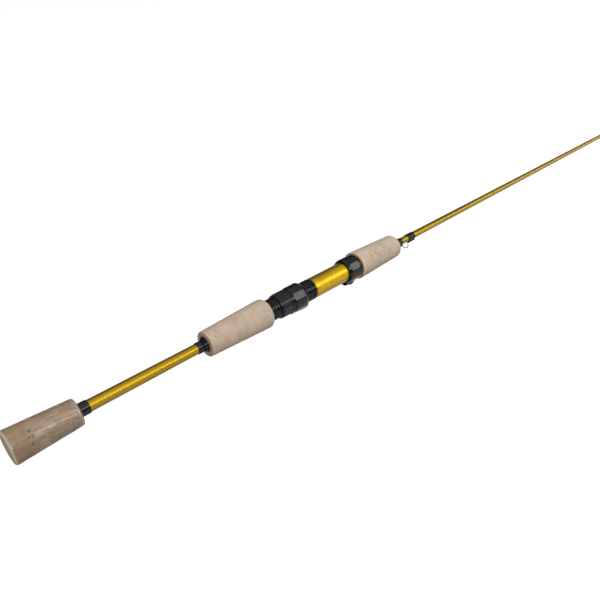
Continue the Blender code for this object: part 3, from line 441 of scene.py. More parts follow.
def cork(name, start, rim_radius, seed, shades, stains=()):
    """Sanded cork: rings of slightly different tone, fine layers, specks, pits, and a rear end face lighter
    than the side, partly the cork end's own tone and partly painted light.
    """
    light, dark, spot, rim = shades
    made = Surface(name, Specular_IOR_Level=0.2)
    along = made.math("SUBTRACT", made.x, start)
    ring = made.math("FLOOR", made.math("DIVIDE", along, CORK_RING))
    seeded = {"W": made.math("ADD", ring, seed)}
    tone = made.node("TexWhiteNoise", seeded, noise_dimensions="1D").outputs[0]
    mottle = made.noise(0.15, 0.11, 4.0, 0.6)
    layers = made.noise(1.5, 0.09)
    grain = made.noise(1.7, 1.5, 3.0, 0.65)
    shade = made.math("ADD", made.times(tone, 0.14), 0.35)
    for value, weight in ((mottle, 1.1), (layers, 0.5), (grain, 0.7)):
        shade = made.math("ADD", shade, made.swing(value, weight))
    colour = made.mix(made.step(shade, 0.0, 1.0), light, dark)
    specks = made.node("TexVoronoi", {"Vector": made.stretched(0.42, 0.33), "Scale": 1.0}).outputs
    lone = made.step(made.node("SeparateColor", {0: specks["Color"]}).outputs[0], 0.72, 0.8)
    speck = made.times(made.step(specks["Distance"], 0.34, 0.14), lone)
    pit = made.node("Attribute", attribute_name="pit").outputs["Fac"]
    for mark, weight in ((speck, 0.16), (pit, 0.6)):
        colour = made.mix(made.times(mark, weight), colour, spot)
    for station, angle, size in stains:
        centre = (station, *outward(angle, rear_grip_radius(station)))
        ragged = made.math("ADD", made.vector("DISTANCE", made.place, centre), made.swing(grain, size))
        stained = made.step(ragged, 0.5 * size, 1.3 * size, STAIN_STRENGTH, 0.0)
        colour = made.mix(stained, colour, STAIN_COLOUR)
    seam = made.step(made.math("PINGPONG", along, 0.5 * CORK_RING), *CORK_SEAM)
    colour = made.mix(made.times(seam, 0.22), colour, dark)
    # The rear end face, most at its outer edge, takes the rim colour: partly the cork end's own tone, partly
    # painted light that lifts a face the lamps barely reach
    at_rear = made.step(along, *CORK_RIM_DEPTH)
    at_rim = made.step(made.radius(), *(rim_radius - width for width in CORK_RIM_WIDTH))
    rear_face_tone_and_light = made.times(at_rear, made.step(at_rim, 0.0, 1.0, 0.55, 1.0))
    colour = made.mix(made.times(rear_face_tone_and_light, 0.8), colour, rim)
    height = made.math("SUBTRACT", made.math("ADD", grain, made.times(layers, 0.5)), seam)
    return made.finish(colour, made.step(grain, *NOISE_SPAN, 0.72, 0.92), height, 0.12, 0.7)


def clear_film():
    """Clear film whose gloss shows over what lies beneath, with fine wrinkles and a thicker edge."""
    made = Surface("shrunk_film", Metallic=1.0)
    facing = made.node("LayerWeight", {"Blend": 0.35}).outputs["Facing"]
    wrinkles = made.noise(0.16, 0.52, 3.0, 0.6)
    rear_edge = made.step(made.x, FILM_START + 0.6, FILM_START + 0.25)
    front_edge = made.step(made.x, FILM_END - 0.6, FILM_END - 0.3)
    sheen = made.times(
        made.step(facing, 0.3, 1.0, 0.035, 0.14), made.step(wrinkles, 0.35, 0.65, 0.1, 1.6),
        made.step(made.x, *FILM_CLINGS, 0.35, 1.15),
    )
    edges = made.times(made.math("ADD", rear_edge, front_edge), 0.1)
    made.put(made.shader, "Alpha", made.math("ADD", edges, sheen))
    return made.finish(FILM_COLOUR, made.step(wrinkles, *NOISE_SPAN, 0.3, 0.46), wrinkles, 0.25, 0.5)


@cache
def gold_varnish():
    """Gold metallic varnish with fine flakes under a clear coat."""
    made = Surface("gold_varnish", Metallic=1.0, Coat_Weight=0.25, Coat_Roughness=0.25)
    flakes = made.noise(5.2, 5.2, 2.0, 0.7)
    drift = made.noise(0.014, 0.16)
    shade = made.math("ADD", made.step(flakes, 0.25, 0.75, 0.0, 0.6), made.step(drift, *NOISE_SPAN, 0.0, 0.4))
    # Painted shade: the gold colour is darkened where its round side is seen at a slant
    colour = made.slant_shaded(made.mix(shade, *VARNISH_SHADES))
    return made.finish(colour, made.step(drift, *NOISE_SPAN, 0.38, 0.46), flakes, 0.006, 0.25)


def gold_anodised():
    """Gold anodised metal, turned fine."""
    made = Surface("gold_anodised", Metallic=1.0, Coat_Weight=0.2, Coat_Roughness=0.35)
    lines = made.noise(4.2, 0.06)
    haze = made.noise(0.09, 0.15, 3.0, 0.6)
    shade = made.math("ADD", made.step(lines, *NOISE_SPAN, 0.0, 0.5), made.step(haze, *NOISE_SPAN, 0.0, 0.5))
    # Painted shade: the gold colour is darkened where its round side is seen at a slant
    colour = made.slant_shaded(made.mix(shade, *ANODISED_SHADES))
    return made.finish(colour, made.step(haze, *NOISE_SPAN, 0.42, 0.48), lines, 0.015, 0.4)


@cache
def varnished_thread():
    """Black thread under clear varnish that lies unevenly along the winding."""
    made = Surface("black_thread", Specular_IOR_Level=0.03, Coat_Roughness=0.1)
    strand = made.math("SINE", made.times(made.x, tau / THREAD_STEP))
    uneven = made.noise(0.42, 0.12)
    coat = made.times(made.turning(*BLACK_SLANT), 0.6)
    made.put(made.shader, "Coat Weight", coat)
    colour = made.mix(made.step(strand, -1.0, 1.0), *THREAD_SHADES)
    return made.finish(colour, made.step(uneven, 0.42, 0.58, 0.16, 0.42), uneven, 0.1, 0.25)


@cache
def moulded(name, shades, roughness, gloss):
    """Semi-gloss moulded plastic with a fine moulded grain."""
    made = Surface(name)
    shine = made.times(made.turning(*BLACK_SLANT), gloss)
    made.put(made.shader, "Specular IOR Level", shine)
    grain = made.noise(2.3, 2.3, 2.0, 0.6)
    cloud = made.noise(0.14, 0.14, 3.0, 0.6)
    colour = made.mix(made.step(cloud, *NOISE_SPAN), *shades)
    uneven = made.step(cloud, 0.25, 0.75, roughness - 0.05, roughness + 0.07)
    return made.finish(colour, uneven, grain, 0.02, 0.25)


@cache
def steel():
    """Polished steel with fine rubbing marks."""
    made = Surface("polished_steel", Metallic=1.0, Specular_Tint=STEEL_TINT)
    marks = made.noise(0.9, 3.4, 3.0, 0.6)
    colour = made.mix(made.noise(0.26, 0.26, 3.0, 0.6), *STEEL_SHADES)
    return made.finish(colour, made.step(marks, *NOISE_SPAN, 0.12, 0.26), marks, 0.01, 0.4)


@cache
def dark_ceramic():
    """Polished dark ceramic."""
    made = Surface("dark_ceramic", Coat_Weight=1.0, Coat_Roughness=0.03)
    cloud = made.noise(0.9, 0.9, 4.0, 0.6)
    return made.finish(made.mix(cloud, *CERAMIC_SHADES), made.step(cloud, *NOISE_SPAN, 0.12, 0.2))


def wound_paper():
    """Paper tape wound in layers."""
    made = Surface("wound_paper", Specular_IOR_Level=0.3)
    layers = made.math("SINE", made.times(made.radius(), tau / PAPER_LAYER))
    fibre = made.noise(0.7, 1.5, 4.0, 0.7)
    shade = made.times(made.step(layers, -1.0, 1.0, 0.5, 1.0), fibre)
    colour = made.mix(shade, *PAPER_SHADES)
    return made.finish(colour, made.step(fibre, *NOISE_SPAN, 0.8, 0.95), fibre, 0.1, 0.5)


def shell(rings, capped):
    """Points and faces of a closed skin over rings with equal numbers of points."""
    count = len(rings[0])
    points = [point for ring in rings for point in ring]
    faces = []
    for span in range(len(rings) - capped):
        first = span * count
        second = (span + 1) % len(rings) * count
        for here in range(count):
            beside = (here + 1) % count
            faces.append((first + here, first + beside, second + beside, second + here))
    if capped:
        faces += [tuple(range(count)), tuple(range(len(points) - count, len(points)))]
    return points, faces


def added(name, data):
    """A new object in the scene."""
    made = bpy.data.objects.new(name, data)
    bpy.context.scene.collection.objects.link(made)
    return made


def solid(name, rings, capped, surface, pits=None):
    """A smooth-shaded object with a closed skin over rings of points."""
    points, faces = shell(rings, capped)
    mesh = bpy.data.meshes.new(name)
    mesh.from_pydata([tuple(MM * value for value in point) for point in points], [], faces)
    if pits:
        mesh.attributes.new("pit", "FLOAT", "POINT").data.foreach_set("value", pits)
    form = bmesh.new()
    form.from_mesh(mesh)
    bmesh.ops.recalc_face_normals(form, faces=form.faces)
    form.to_mesh(mesh)
    form.free()
    mesh.shade_smooth()
    mesh.set_sharp_from_angle(angle=SHARP_ANGLE)
    mesh.materials.append(surface)
    return added(name, mesh)


def dress(piece, node, body="butt_section"):
    """The piece stands for a CAD node, which is hidden, and rides on the node's body."""
    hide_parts(node)
    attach(piece, body)


def curve(first, corner, last, steps):
    """Points of a bend from one point to another that stays inside their corner."""
    points = []
    for step in range(steps + 1):
        share = step / steps
        points.append(first * (1.0 - share) ** 2 + corner * 2.0 * share * (1.0 - share) + last * share ** 2)
    return points


def round_corners(places, roundings):
    """Points of an outline whose corners are rounded."""
    points = []
    for index, (here, rounding) in enumerate(zip(places, roundings)):
        if rounding == 0.0:
            points.append(here)
            continue
        ends = []
        for beside in (index - 1, (index + 1) % len(places)):
            edge = places[beside] - here
            ends.append(here + edge * min(CORNER_REACH, rounding / max(edge.length, 0.001)))
        points += curve(ends[0], here, ends[1], CORNER_STEPS)
    return points


def refine(columns, longest, closed):
    """The same outlines with every stretch cut into steps no longer than this."""
    count = len(columns[0])
    refined = [[] for _ in columns]
    for index in range(count):
        following = (index + 1) % count
        length = max((column[following] - column[index]).length for column in columns)
        steps = max(1, ceil(length / longest)) if following or closed else 1
        for column, made in zip(columns, refined):
            for step in range(steps):
                made.append(column[index].lerp(column[following], step / steps))
    return refined


def turned(name, keys, angles, surface, closed=True, longest=None, relief=None):
    """A piece turned round the rod's axis, from an outline of (station, radius, rounding if any).

    A station or a radius may depend on the angle.
    """
    columns = []
    for angle in angles:
        places = [Vector([value_at(value, angle) for value in key[:2]]) for key in keys]
        columns.append(round_corners(places, [sum(key[2:]) for key in keys]))
    if longest:
        columns = refine(columns, longest, closed)
    rings = []
    pits = []
    for index in range(len(columns[0])):
        ring = []
        for angle, column in zip(angles, columns):
            station, radius = column[index]
            if relief:
                sunk, pit = relief(station, radius, angle)
                radius -= sunk
                pits.append(pit)
            ring.append((station, *outward(angle, radius)))
        rings.append(ring)
    return solid(name, rings, not closed, surface, pits)


def tapered(station, places):
    """Radius at a station of a straight taper between places of (station, radius)."""
    for (start, first), (end, last) in zip(places, places[1:]):
        if station < end:
            break
    return first + (last - first) * (station - start) / (end - start)


def blank_radius(station):
    """Outer radius of the butt section's blank."""
    return tapered(station, BLANK_TAPER)


def tip_radius(station):
    """Outer radius of the tip section, with its flared ferrule."""
    sleeve = blank_radius(TIP_SECTION_START) + FERRULE_GAP + FERRULE_WALL
    return tapered(station, (
        (TIP_SECTION_START, sleeve), (BUTT_BLANK_END, sleeve),
        (FERRULE_END, TIP_BASE_RADIUS), (ROD_LENGTH, TIP_END_RADIUS),
    ))


def bore(start, end, gap):
    """The two corners of a bore that follows the blank, from its front end to its rear."""
    return [(end, blank_radius(end) + gap), (start, blank_radius(start) + gap)]


def pitting(seed, depth):
    """Relief of a cork grip: sparse pits, drawn out round the rod, on a faintly uneven side."""
    def relief(station, radius, angle):
        """Depth at a place on the side, and how far it belongs to a pit."""
        y, z = outward(angle, radius)
        broad = noise.noise(Vector((station * 0.52 + seed, y * 0.33, z * 0.33 + seed)))
        fine = noise.noise(Vector((station * 1.9, y * 1.5 + seed, z * 1.5)))
        rarity = noise.noise(Vector((station * 0.09 + seed, y * 0.07, z * 0.07 - seed)))
        pit = smooth(broad + 0.22 * fine + 0.35 * rarity, *PIT_LEVELS)
        return depth * pit + CORK_ROUGHNESS * fine, pit
    return relief


def bedded(radius, wall=0.0):
    """A round section with the bed's flat across its underside, set in by a wall."""
    def section(angle):
        side = radius - wall
        return min(side, (BED_DISTANCE - wall) / cos(angle)) if cos(angle) > 0.0 else side
    return section


def boss(height, half_width, wall=0.0):
    """Radius of a rounded block that hangs under the rod, set in by a wall."""
    def section(angle):
        if cos(angle) <= 0.0:
            return 0.0
        down = (cos(angle) / (height - wall)) ** BOSS_SQUARENESS
        across = (abs(sin(angle)) / (half_width - wall)) ** BOSS_SQUARENESS
        return (down + across) ** (-1.0 / BOSS_SQUARENESS)
    return section


def widest(*sections):
    """The outermost of several sections."""
    def section(angle):
        return max(value_at(each, angle) for each in sections)
    return section


def flowing(*sections):
    """The outermost of several sections, with a fillet where they meet."""
    def section(angle):
        sizes = [value_at(each, angle) for each in sections]
        largest = max(sizes)
        total = sum((size / largest) ** FILLET_SHARPNESS for size in sizes)
        return largest * total ** (1.0 / FILLET_SHARPNESS)
    return section


def faceted(radius, distance):
    """A round section with a broad flat on each upper side."""
    def section(angle):
        towards = max(cos(angle - HOOD_FACET_ANGLE), cos(angle + HOOD_FACET_ANGLE))
        return min(radius, distance / towards) if towards > 0.0 else radius
    return section


def fluted(depth):
    """Section of the nut, with wide shallow flutes between narrow ridges."""
    def section(angle):
        period = tau / NUT_FLUTES
        apart = abs((angle - NUT_FLUTE_ANGLE + 0.5 * period) % period - 0.5 * period)
        rise = smooth(apart, *NUT_FLUTE_EDGE)
        return NUT_RADIUS - depth * (1.0 - rise)
    return section


def make_blanks():
    """Both blanks."""
    stations = (BLANK_START, *(station for station, _ in BLANK_TAPER[1:]))
    keys = [(station, blank_radius(station), FINE_EDGE) for station in stations]
    keys += [(station, blank_radius(station) - BLANK_WALL) for station in reversed(stations)]
    piece = turned("gold_butt_blank", keys, even(BLANK_FACETS), gold_varnish(), longest=BLANK_MESH)
    dress(piece, "butt_blank")
    end = TIP_TOP_END - TIP_TUBE_WALL - SEAT_GAP
    keys = [
        (BUTT_BLANK_END + SEAT_GAP, blank_radius(BUTT_BLANK_END) + FERRULE_GAP),
        (TIP_SECTION_START, blank_radius(TIP_SECTION_START) + FERRULE_GAP, 0.15),
        (TIP_SECTION_START, tip_radius(TIP_SECTION_START), SOFT_EDGE),
        (BUTT_BLANK_END, tip_radius(BUTT_BLANK_END), FERRULE_BLEND),
        (FERRULE_END, tip_radius(FERRULE_END), FERRULE_BLEND),
        (end, tip_radius(end)),
    ]
    angles = even(BLANK_FACETS)
    piece = turned("gold_tip_blank", keys, angles, gold_varnish(), closed=False, longest=BLANK_MESH)
    dress(piece, "tip_blank", "tip_section")


def rear_grip_radius(station):
    """Outer radius of the butt grip, with its rounded rear edge."""
    before_side = REAR_GRIP_EDGE - station
    if before_side > 0.0:
        return REAR_GRIP_RADIUS - REAR_GRIP_EDGE + sqrt(REAR_GRIP_EDGE ** 2 - before_side ** 2)
    front = (REAR_GRIP_LENGTH - GRIP_EDGE, REAR_GRIP_FRONT_RADIUS)
    return tapered(station, ((REAR_GRIP_EDGE, REAR_GRIP_RADIUS), front))


def film_wrinkles(station, radius, angle):
    """Relief of the film, which puckers most near its ends."""
    y, z = outward(angle, radius)
    at_rear = smooth(station, FILM_START + FILM_REAR_WRINKLES, FILM_START)
    at_front = smooth(station, FILM_END - FILM_FRONT_WRINKLES, FILM_END)
    pucker = noise.noise(Vector((station * 0.14, y * 0.42, z * 0.42)))
    return FILM_WRINKLE_DEPTH * max(0.0, pucker) * (0.2 + 0.8 * max(at_rear, at_front)), 0.0


def make_grips():
    """The three cork grips and the film over the rear one."""
    shade = cork("cork_under_film", 0.0, REAR_GRIP_RADIUS, 3.0, FILMED_CORK, CORK_STAINS)
    keys = [
        (0.0, BUTT_HUB_RADIUS),
        (0.0, REAR_GRIP_RADIUS, REAR_GRIP_EDGE),
        (REAR_GRIP_LENGTH, REAR_GRIP_FRONT_RADIUS, GRIP_EDGE),
    ]
    keys += bore(BLANK_START - SEAT_GAP, REAR_GRIP_LENGTH, SEAT_GAP)
    angles = even(GRIP_FACETS)
    pits = pitting(11.3, 0.22)
    piece = turned("rear_cork_grip", keys, angles, shade, closed=False, longest=CORK_MESH, relief=pits)
    dress(piece, "rear_grip")

    stations = (FILM_START, REAR_GRIP_EDGE, FILM_END)
    film = [(station, rear_grip_radius(station) + SEAT_GAP, FILM_EDGE) for station in stations]
    keys = [(station, radius + FILM_THICKNESS, edge) for station, radius, edge in film] + film[::-1]
    piece = turned("shrunk_film", keys, angles, clear_film(), longest=FILM_MESH, relief=film_wrinkles)
    dress(piece, "butt_grip_film")

    for name, node, (rear, front), shades, seed, pit_seed in (
        ("middle_cork", "mid_grip", MID_GRIP, MIDDLE_CORK, 17.0, 29.7),
        ("fore_cork", "fore_grip", FORE_GRIP, FORE_CORK, 41.0, 53.1),
    ):
        shade = cork(name, *rear, seed, shades)
        keys = [(*rear, GRIP_EDGE), (*front, GRIP_NOSE)] + bore(rear[0], front[0], SEAT_GAP)
        pits = pitting(pit_seed, 0.25)
        piece = turned(name + "_grip", keys, angles, shade, longest=CORK_MESH, relief=pits)
        dress(piece, node)


def winding(node, start, end, body="butt_section", foot=None):
    """Thread wound round the blank in close turns, with ramped ends, over a foot where there is one."""
    radius_of = blank_radius if body == "butt_section" else tip_radius

    def lift(bare, angle):
        """How far the thread is raised where it runs over the foot."""
        if not foot:
            return 0.0
        middle, half_width, thickness = foot
        rise = hypot(bare + thickness, half_width) - bare + WINDING_GAP
        half_angle = atan2(half_width + WINDING_GAP, bare + 0.5 * thickness)
        apart = abs((angle - middle + pi) % tau - pi)
        return rise * smooth(apart / half_angle, BUMP_FOOT, BUMP_TOP)

    def ring(station, thickness, relief):
        """A ring of points on the winding, with the ridges of its turns."""
        bare = radius_of(station) + WINDING_GAP
        points = []
        for angle in even(WINDING_FACETS):
            ridge = relief * (0.5 - 0.5 * cos(tau * (station / THREAD_STEP - angle / tau)))
            points.append((station, *outward(angle, bare + thickness - ridge + lift(bare, angle))))
        return points

    rows = int((MM * end - MM * start) / (MM * THREAD_STEP) * ROWS_PER_TURN)
    rings = []
    for row in range(rows + 1):
        station = start + (end - start) * row / rows
        ramp = min(1.0, min(station - start, end - station) / WINDING_RAMP)
        share = WINDING_END_SHARE + (1.0 - WINDING_END_SHARE) * sin(0.5 * pi * ramp)
        rings.append(ring(station, WINDING_THICKNESS * share, THREAD_RELIEF * (0.4 + 0.6 * ramp)))
    rings += [ring(end, 0.0, 0.0), ring(start, 0.0, 0.0)]
    dress(solid(node + "_thread", rings, False, varnished_thread()), node, body)


def make_butt_windings():
    """Windings and the check beside the grips and the keeper."""
    rear = REAR_GRIP_LENGTH + SEAT_GAP
    middle = MID_GRIP_START - CHECK_LENGTH - 2.0 * SEAT_GAP
    front = KEEPER_GAP_END + FRONT_WINDING_LENGTH
    keeper = (KEEPER_ANGLE, KEEPER_WIRE_RADIUS, 2.0 * KEEPER_WIRE_RADIUS)
    winding("butt_grip_winding", rear, rear + REAR_WINDING_LENGTH)
    winding("mid_grip_winding", middle - MID_WINDING_LENGTH, middle + VARNISH_RUN)
    winding("keeper_rear_winding", FORE_GRIP_END + SEAT_GAP, KEEPER_GAP_START, foot=keeper)
    winding("keeper_front_winding", KEEPER_GAP_END, front, foot=keeper)

    end = MID_GRIP_START - SEAT_GAP
    start = end - CHECK_LENGTH
    keys = [
        (start, blank_radius(start) + WINDING_GAP + WINDING_THICKNESS, FINE_EDGE),
        (end - CHECK_LIP, CHECK_RADIUS - 0.5 * CHECK_LIP, 0.5),
        (end - 0.5 * CHECK_LIP, CHECK_RADIUS, 0.2),
        (end, CHECK_RADIUS, FINE_EDGE),
    ]
    keys += bore(start, end, WINDING_GAP)
    piece = turned("cone_check", keys, even(RING_FACETS * 2), moulded(*HOOD_PLASTIC), longest=CHECK_MESH)
    dress(piece, "winding_check")


def threaded(station):
    """Section of the seat at a station of its thread: rounded ridges on the bare core."""
    ramp = smooth(station, SEAT_START + 0.5 * THREAD_PITCH, SEAT_START + THREAD_PITCH)
    ramp *= smooth(station, THREAD_END, THREAD_END - THREAD_RUN_OUT)
    limit = bedded(2.0 * THREAD_RADIUS)

    def section(angle):
        from_crest = abs((station / THREAD_PITCH - angle / tau) % 1.0 - 0.5)
        height = THREAD_DEPTH * smooth(from_crest, *THREAD_FLANK) * ramp
        return min(THREAD_RADIUS - THREAD_DEPTH + height, limit(angle))
    return section


def make_seat():
    """Threaded seat tube and its metal sleeve."""
    angles = even(SEAT_FACETS)
    rows = int((THREAD_END - SEAT_START) / THREAD_ROW)
    stations = [SEAT_START + (THREAD_END - SEAT_START) * row / rows for row in range(rows + 1)]
    sections = [(station, threaded(station)) for station in stations]
    collar = bedded(THREAD_RADIUS)
    collar_edge = bedded(THREAD_RADIUS, COLLAR_EDGE)
    spigot = bedded(SLEEVE_RADIUS, SLEEVE_WALL + SEAT_GAP)
    sections += [
        (THREAD_END + 0.01, collar_edge),
        (THREAD_END + COLLAR_EDGE, collar),
        (COLLAR_END - COLLAR_EDGE, collar),
        (COLLAR_END - COLLAR_CHAMFER, bedded(THREAD_RADIUS, 0.08)),
        (COLLAR_END, collar_edge),
        (COLLAR_END, spigot),
        (SEAT_END, spigot),
        (SEAT_END, SEAT_BORE_RADIUS),
        (SEAT_START, SEAT_BORE_RADIUS),
    ]
    rings = [ring_of(station, angles, section) for station, section in sections]
    piece = solid("threaded_seat", rings, False, moulded(*SATIN_PLASTIC))
    dress(piece, "reel_seat_body")

    start = COLLAR_END + SEAT_GAP
    corner = acos(BED_DISTANCE / SLEEVE_RADIUS)
    angles = sorted(even(SEAT_FACETS) + [corner, tau - corner])
    outer = bedded(SLEEVE_RADIUS)
    inner = bedded(SLEEVE_RADIUS, SLEEVE_WALL)
    bed_end = FIXED_POCKET_END - SEAT_GAP
    keys = [
        (start, outer, 0.15),
        (bed_end, outer),
        (bed_end, SLEEVE_RADIUS),
        (SEAT_END, SLEEVE_RADIUS, 0.15),
        (SEAT_END, inner),
        (start, inner),
    ]
    piece = turned("gold_sleeve", keys, angles, gold_anodised(), longest=SLEEVE_MESH)
    dress(piece, "reel_seat_sleeve")


def make_nut():
    """Fluted nut with a rounded rear edge and a plain front rim."""
    flutes = fluted(NUT_FLUTE_DEPTH)
    clear = THREAD_RADIUS + SLIDE_GAP
    recess = clear + NECK_WALL + SEAT_GAP
    flute_end = NUT_END - NUT_RIM
    keys = [
        (NUT_START, clear),
        (NUT_START, NUT_RADIUS - NUT_BEVEL_DROP, SOFT_EDGE),
        (NUT_START + NUT_BEVEL, fluted(0.5 * NUT_FLUTE_DEPTH), 0.5),
        (NUT_START + NUT_BEVEL + FLUTE_RUN, flutes, SOFT_EDGE),
        (flute_end - FLUTE_RUN, flutes, SOFT_EDGE),
        (flute_end, NUT_RADIUS, 0.25),
        (NUT_END, NUT_RADIUS, SOFT_EDGE),
        (NUT_END, recess, FINE_EDGE),
        (NUT_END - NUT_POCKET, recess),
        (NUT_END - NUT_POCKET, clear),
    ]
    angles = even(NUT_FLUTES * FLUTE_FACETS)
    piece = turned("fluted_nut", keys, angles, moulded(*SATIN_PLASTIC), longest=PLASTIC_MESH)
    dress(piece, "lock_nut", "lock_nut")


def lipped(depth):
    """Station of the sliding hood's front edge, which reaches further forward over the pocket."""
    def station(angle):
        share = (cos(angle) - cos(HOOD_LIP_FROM)) / (cos(HOOD_LIP_FULL) - cos(HOOD_LIP_FROM))
        return HOOD_END - depth - HOOD_LIP * (1.0 - min(1.0, max(0.0, share)))
    return station


def make_sliding_hood():
    """Sliding hood with its pocket under the rod and the neck that the nut carries."""
    clear = THREAD_RADIUS + SLIDE_GAP
    keyed = bedded(THREAD_RADIUS, -SLIDE_GAP)
    height, half_width = HOOD_BOSS
    block = boss(height, half_width)
    low_block = boss(height - HOOD_BOSS_TAPER, half_width)
    lip_block = boss(height - HOOD_BOSS_EDGE, half_width)
    body = faceted(HOOD_RADIUS, HOOD_FACET_DISTANCE)
    rear_body = faceted(NUT_RADIUS, HOOD_FACET_DISTANCE)
    pocket = widest(clear, boss(height, half_width, HOOD_WALL))
    neck = clear + NECK_WALL
    neck_start = NUT_END - NUT_POCKET + SEAT_GAP
    key_end = HOOD_START + HOOD_KEY_LENGTH
    keys = [
        (neck_start, neck),
        (HOOD_START, neck),
        (HOOD_START, NUT_RADIUS - HOOD_REAR_STEP, 0.15),
        (HOOD_START + HOOD_REAR_STEP, flowing(rear_body, low_block), SOFT_EDGE),
        (HOOD_START + HOOD_REAR_RUN, flowing(body, low_block), 1.0),
        (HOOD_FACET_END, flowing(body, block), FINE_EDGE),
        (HOOD_FACET_END + HOOD_FACET_STEP, flowing(HOOD_RADIUS, block), FINE_EDGE),
        (lipped(HOOD_NOSE), flowing(HOOD_RADIUS, block), 0.5),
        (lipped(0.4 * HOOD_NOSE), flowing(HOOD_RADIUS - 0.5 * HOOD_NOSE_DROP, block), 0.6),
        (lipped(0.0), flowing(HOOD_RADIUS - HOOD_NOSE_DROP, lip_block), 0.35),
        (lipped(0.0), pocket, FINE_EDGE),
        (key_end, pocket),
        (key_end, keyed),
        (neck_start, keyed),
    ]
    piece = turned("foot_hood", keys, even(SEAT_FACETS * 2), moulded(*HOOD_PLASTIC), longest=PLASTIC_MESH)
    dress(piece, "sliding_hood", "sliding_hood")


def make_fixed_hood():
    """Fixed hood with its deeper pocket."""
    inside = SLEEVE_RADIUS + SEAT_GAP
    start = FIXED_HOOD_START
    end = SEAT_END - SEAT_GAP
    side = FIXED_HOOD_RADIUS
    body = faceted(side, FIXED_FACET_DISTANCE)
    mouth = boss(*FIXED_MOUTH)
    pocket = widest(inside, boss(*FIXED_MOUTH, FIXED_POCKET_WALL))
    keys = [
        (start, flowing(side - FIXED_REAR_DROP, boss(*FIXED_MOUTH, FIXED_MOUTH_EDGE)), SOFT_EDGE),
        (start + FIXED_REAR_BEVEL, flowing(side, mouth), 0.8),
        (FIXED_FACET_START - HOOD_FACET_STEP, flowing(side, mouth), FINE_EDGE),
        (FIXED_FACET_START, flowing(body, mouth), FINE_EDGE),
        (start + FIXED_BOSS_RUN, flowing(body, boss(*FIXED_BOSS)), 2.5),
        (FIXED_FACET_END, body, FINE_EDGE),
        (FIXED_FACET_END + HOOD_FACET_STEP, side, FINE_EDGE),
        (end - FIXED_FRONT_BEVEL, side, SOFT_EDGE),
        (end, side - FIXED_FRONT_DROP, 0.2),
        (end, inside),
        (FIXED_POCKET_END + FIXED_POCKET_SLOPE, inside),
        (FIXED_POCKET_END, pocket),
        (start, pocket, 0.15),
    ]
    piece = turned("front_hood", keys, even(SEAT_FACETS * 2), moulded(*HOOD_PLASTIC), longest=PLASTIC_MESH)
    dress(piece, "fixed_hood")


def tube(name, route, radius, side):
    """Round steel wire along a flat route of points. side is across the route's plane."""
    rings = []
    for index, point in enumerate(route):
        along = (route[min(len(route) - 1, index + 1)] - route[max(0, index - 1)]).normalized()
        over = side.cross(along).normalized()
        offsets = [radius * (cos(turn) * over + sin(turn) * side) for turn in even(SECTION_FACETS)]
        rings.append([tuple(point + offset) for offset in offsets])
    return solid(name, rings, True, steel())


def arc(station, radius, size, first, last, steps):
    """Places (station, radius) on an arc of this size round a place, from one angle to another."""
    turns = [first + (last - first) * step / steps for step in range(steps + 1)]
    return [(station + size * cos(turn), radius + size * sin(turn)) for turn in turns]


def make_keeper():
    """Bent wire loop whose feet lie under the windings."""
    wire = KEEPER_WIRE_RADIUS
    foot = blank_radius(KEEPER_GAP_START) + WINDING_GAP + wire
    front_foot = blank_radius(KEEPER_GAP_END) + WINDING_GAP + wire
    leg = KEEPER_GAP_START + SEAT_GAP + wire
    front_leg = KEEPER_GAP_END - SEAT_GAP - wire
    loop = 0.5 * (front_leg - leg)
    loop_height = blank_radius(leg) + KEEPER_RISE - wire - loop
    bend = KEEPER_BEND
    route = [(KEEPER_GAP_START - KEEPER_FOOT, foot)]
    route += arc(leg - bend, foot + bend, bend, -0.5 * pi, 0.0, KEEPER_BEND_STEPS)
    route += arc(leg + loop, loop_height, loop, pi, 0.0, KEEPER_LOOP_STEPS)
    route += arc(front_leg + bend, front_foot + bend, bend, -pi, -0.5 * pi, KEEPER_BEND_STEPS)
    route.append((KEEPER_GAP_END + KEEPER_FOOT, front_foot))
    points = [Vector((station, *outward(KEEPER_ANGLE, radius))) for station, radius in route]
    side = Vector((0.0, cos(KEEPER_ANGLE), sin(KEEPER_ANGLE)))
    dress(tube("keeper_loop", points, wire, side), "hook_keeper")


def ring_piece(name, station, radius, section, centre, surface):
    """A small hanging ring, whose rounded section has a half length and a half wall."""
    half_length, half_wall = section
    angles = even(RING_FACETS)
    sides = [(half_length * cos(turn), half_wall * sin(turn)) for turn in even(SECTION_FACETS)]
    rings = [ring_of(station + along, angles, radius + out, centre) for along, out in sides]
    return solid(name, rings, False, surface)


def strip(name, route):
    """A bent flat steel bar in the plane y = 0, along (x, z, half width, thickness) with soft edges."""
    wide_power, thick_power = BAR_SQUARENESS
    rings = []
    for index, (x, z, half_width, thickness) in enumerate(route):
        before = Vector(route[max(0, index - 1)][:2])
        after = Vector(route[min(len(route) - 1, index + 1)][:2])
        along = (after - before).normalized()
        ring = []
        for turn in even(SECTION_FACETS):
            across = copysign(half_width * abs(cos(turn)) ** wide_power, cos(turn))
            over = copysign(0.5 * thickness * abs(sin(turn)) ** thick_power, sin(turn))
            ring.append((x - along.y * over, across, z + along.x * over))
        rings.append(ring)
    return solid(name, rings, True, steel())


def union(target, tools):
    """One closed mesh of a piece and others that run into it."""
    for tool in tools:
        modifier = target.modifiers.new("union", "BOOLEAN")
        modifier.operation = "UNION"
        modifier.solver = "EXACT"
        modifier.object = tool
    graph = bpy.context.evaluated_depsgraph_get()
    joined = bpy.data.meshes.new_from_object(target.evaluated_get(graph))
    target.modifiers.clear()
    target.data = joined
    for tool in tools:
        bpy.data.objects.remove(tool)
    joined.shade_smooth()
    joined.set_sharp_from_angle(angle=SHARP_ANGLE)
    return target


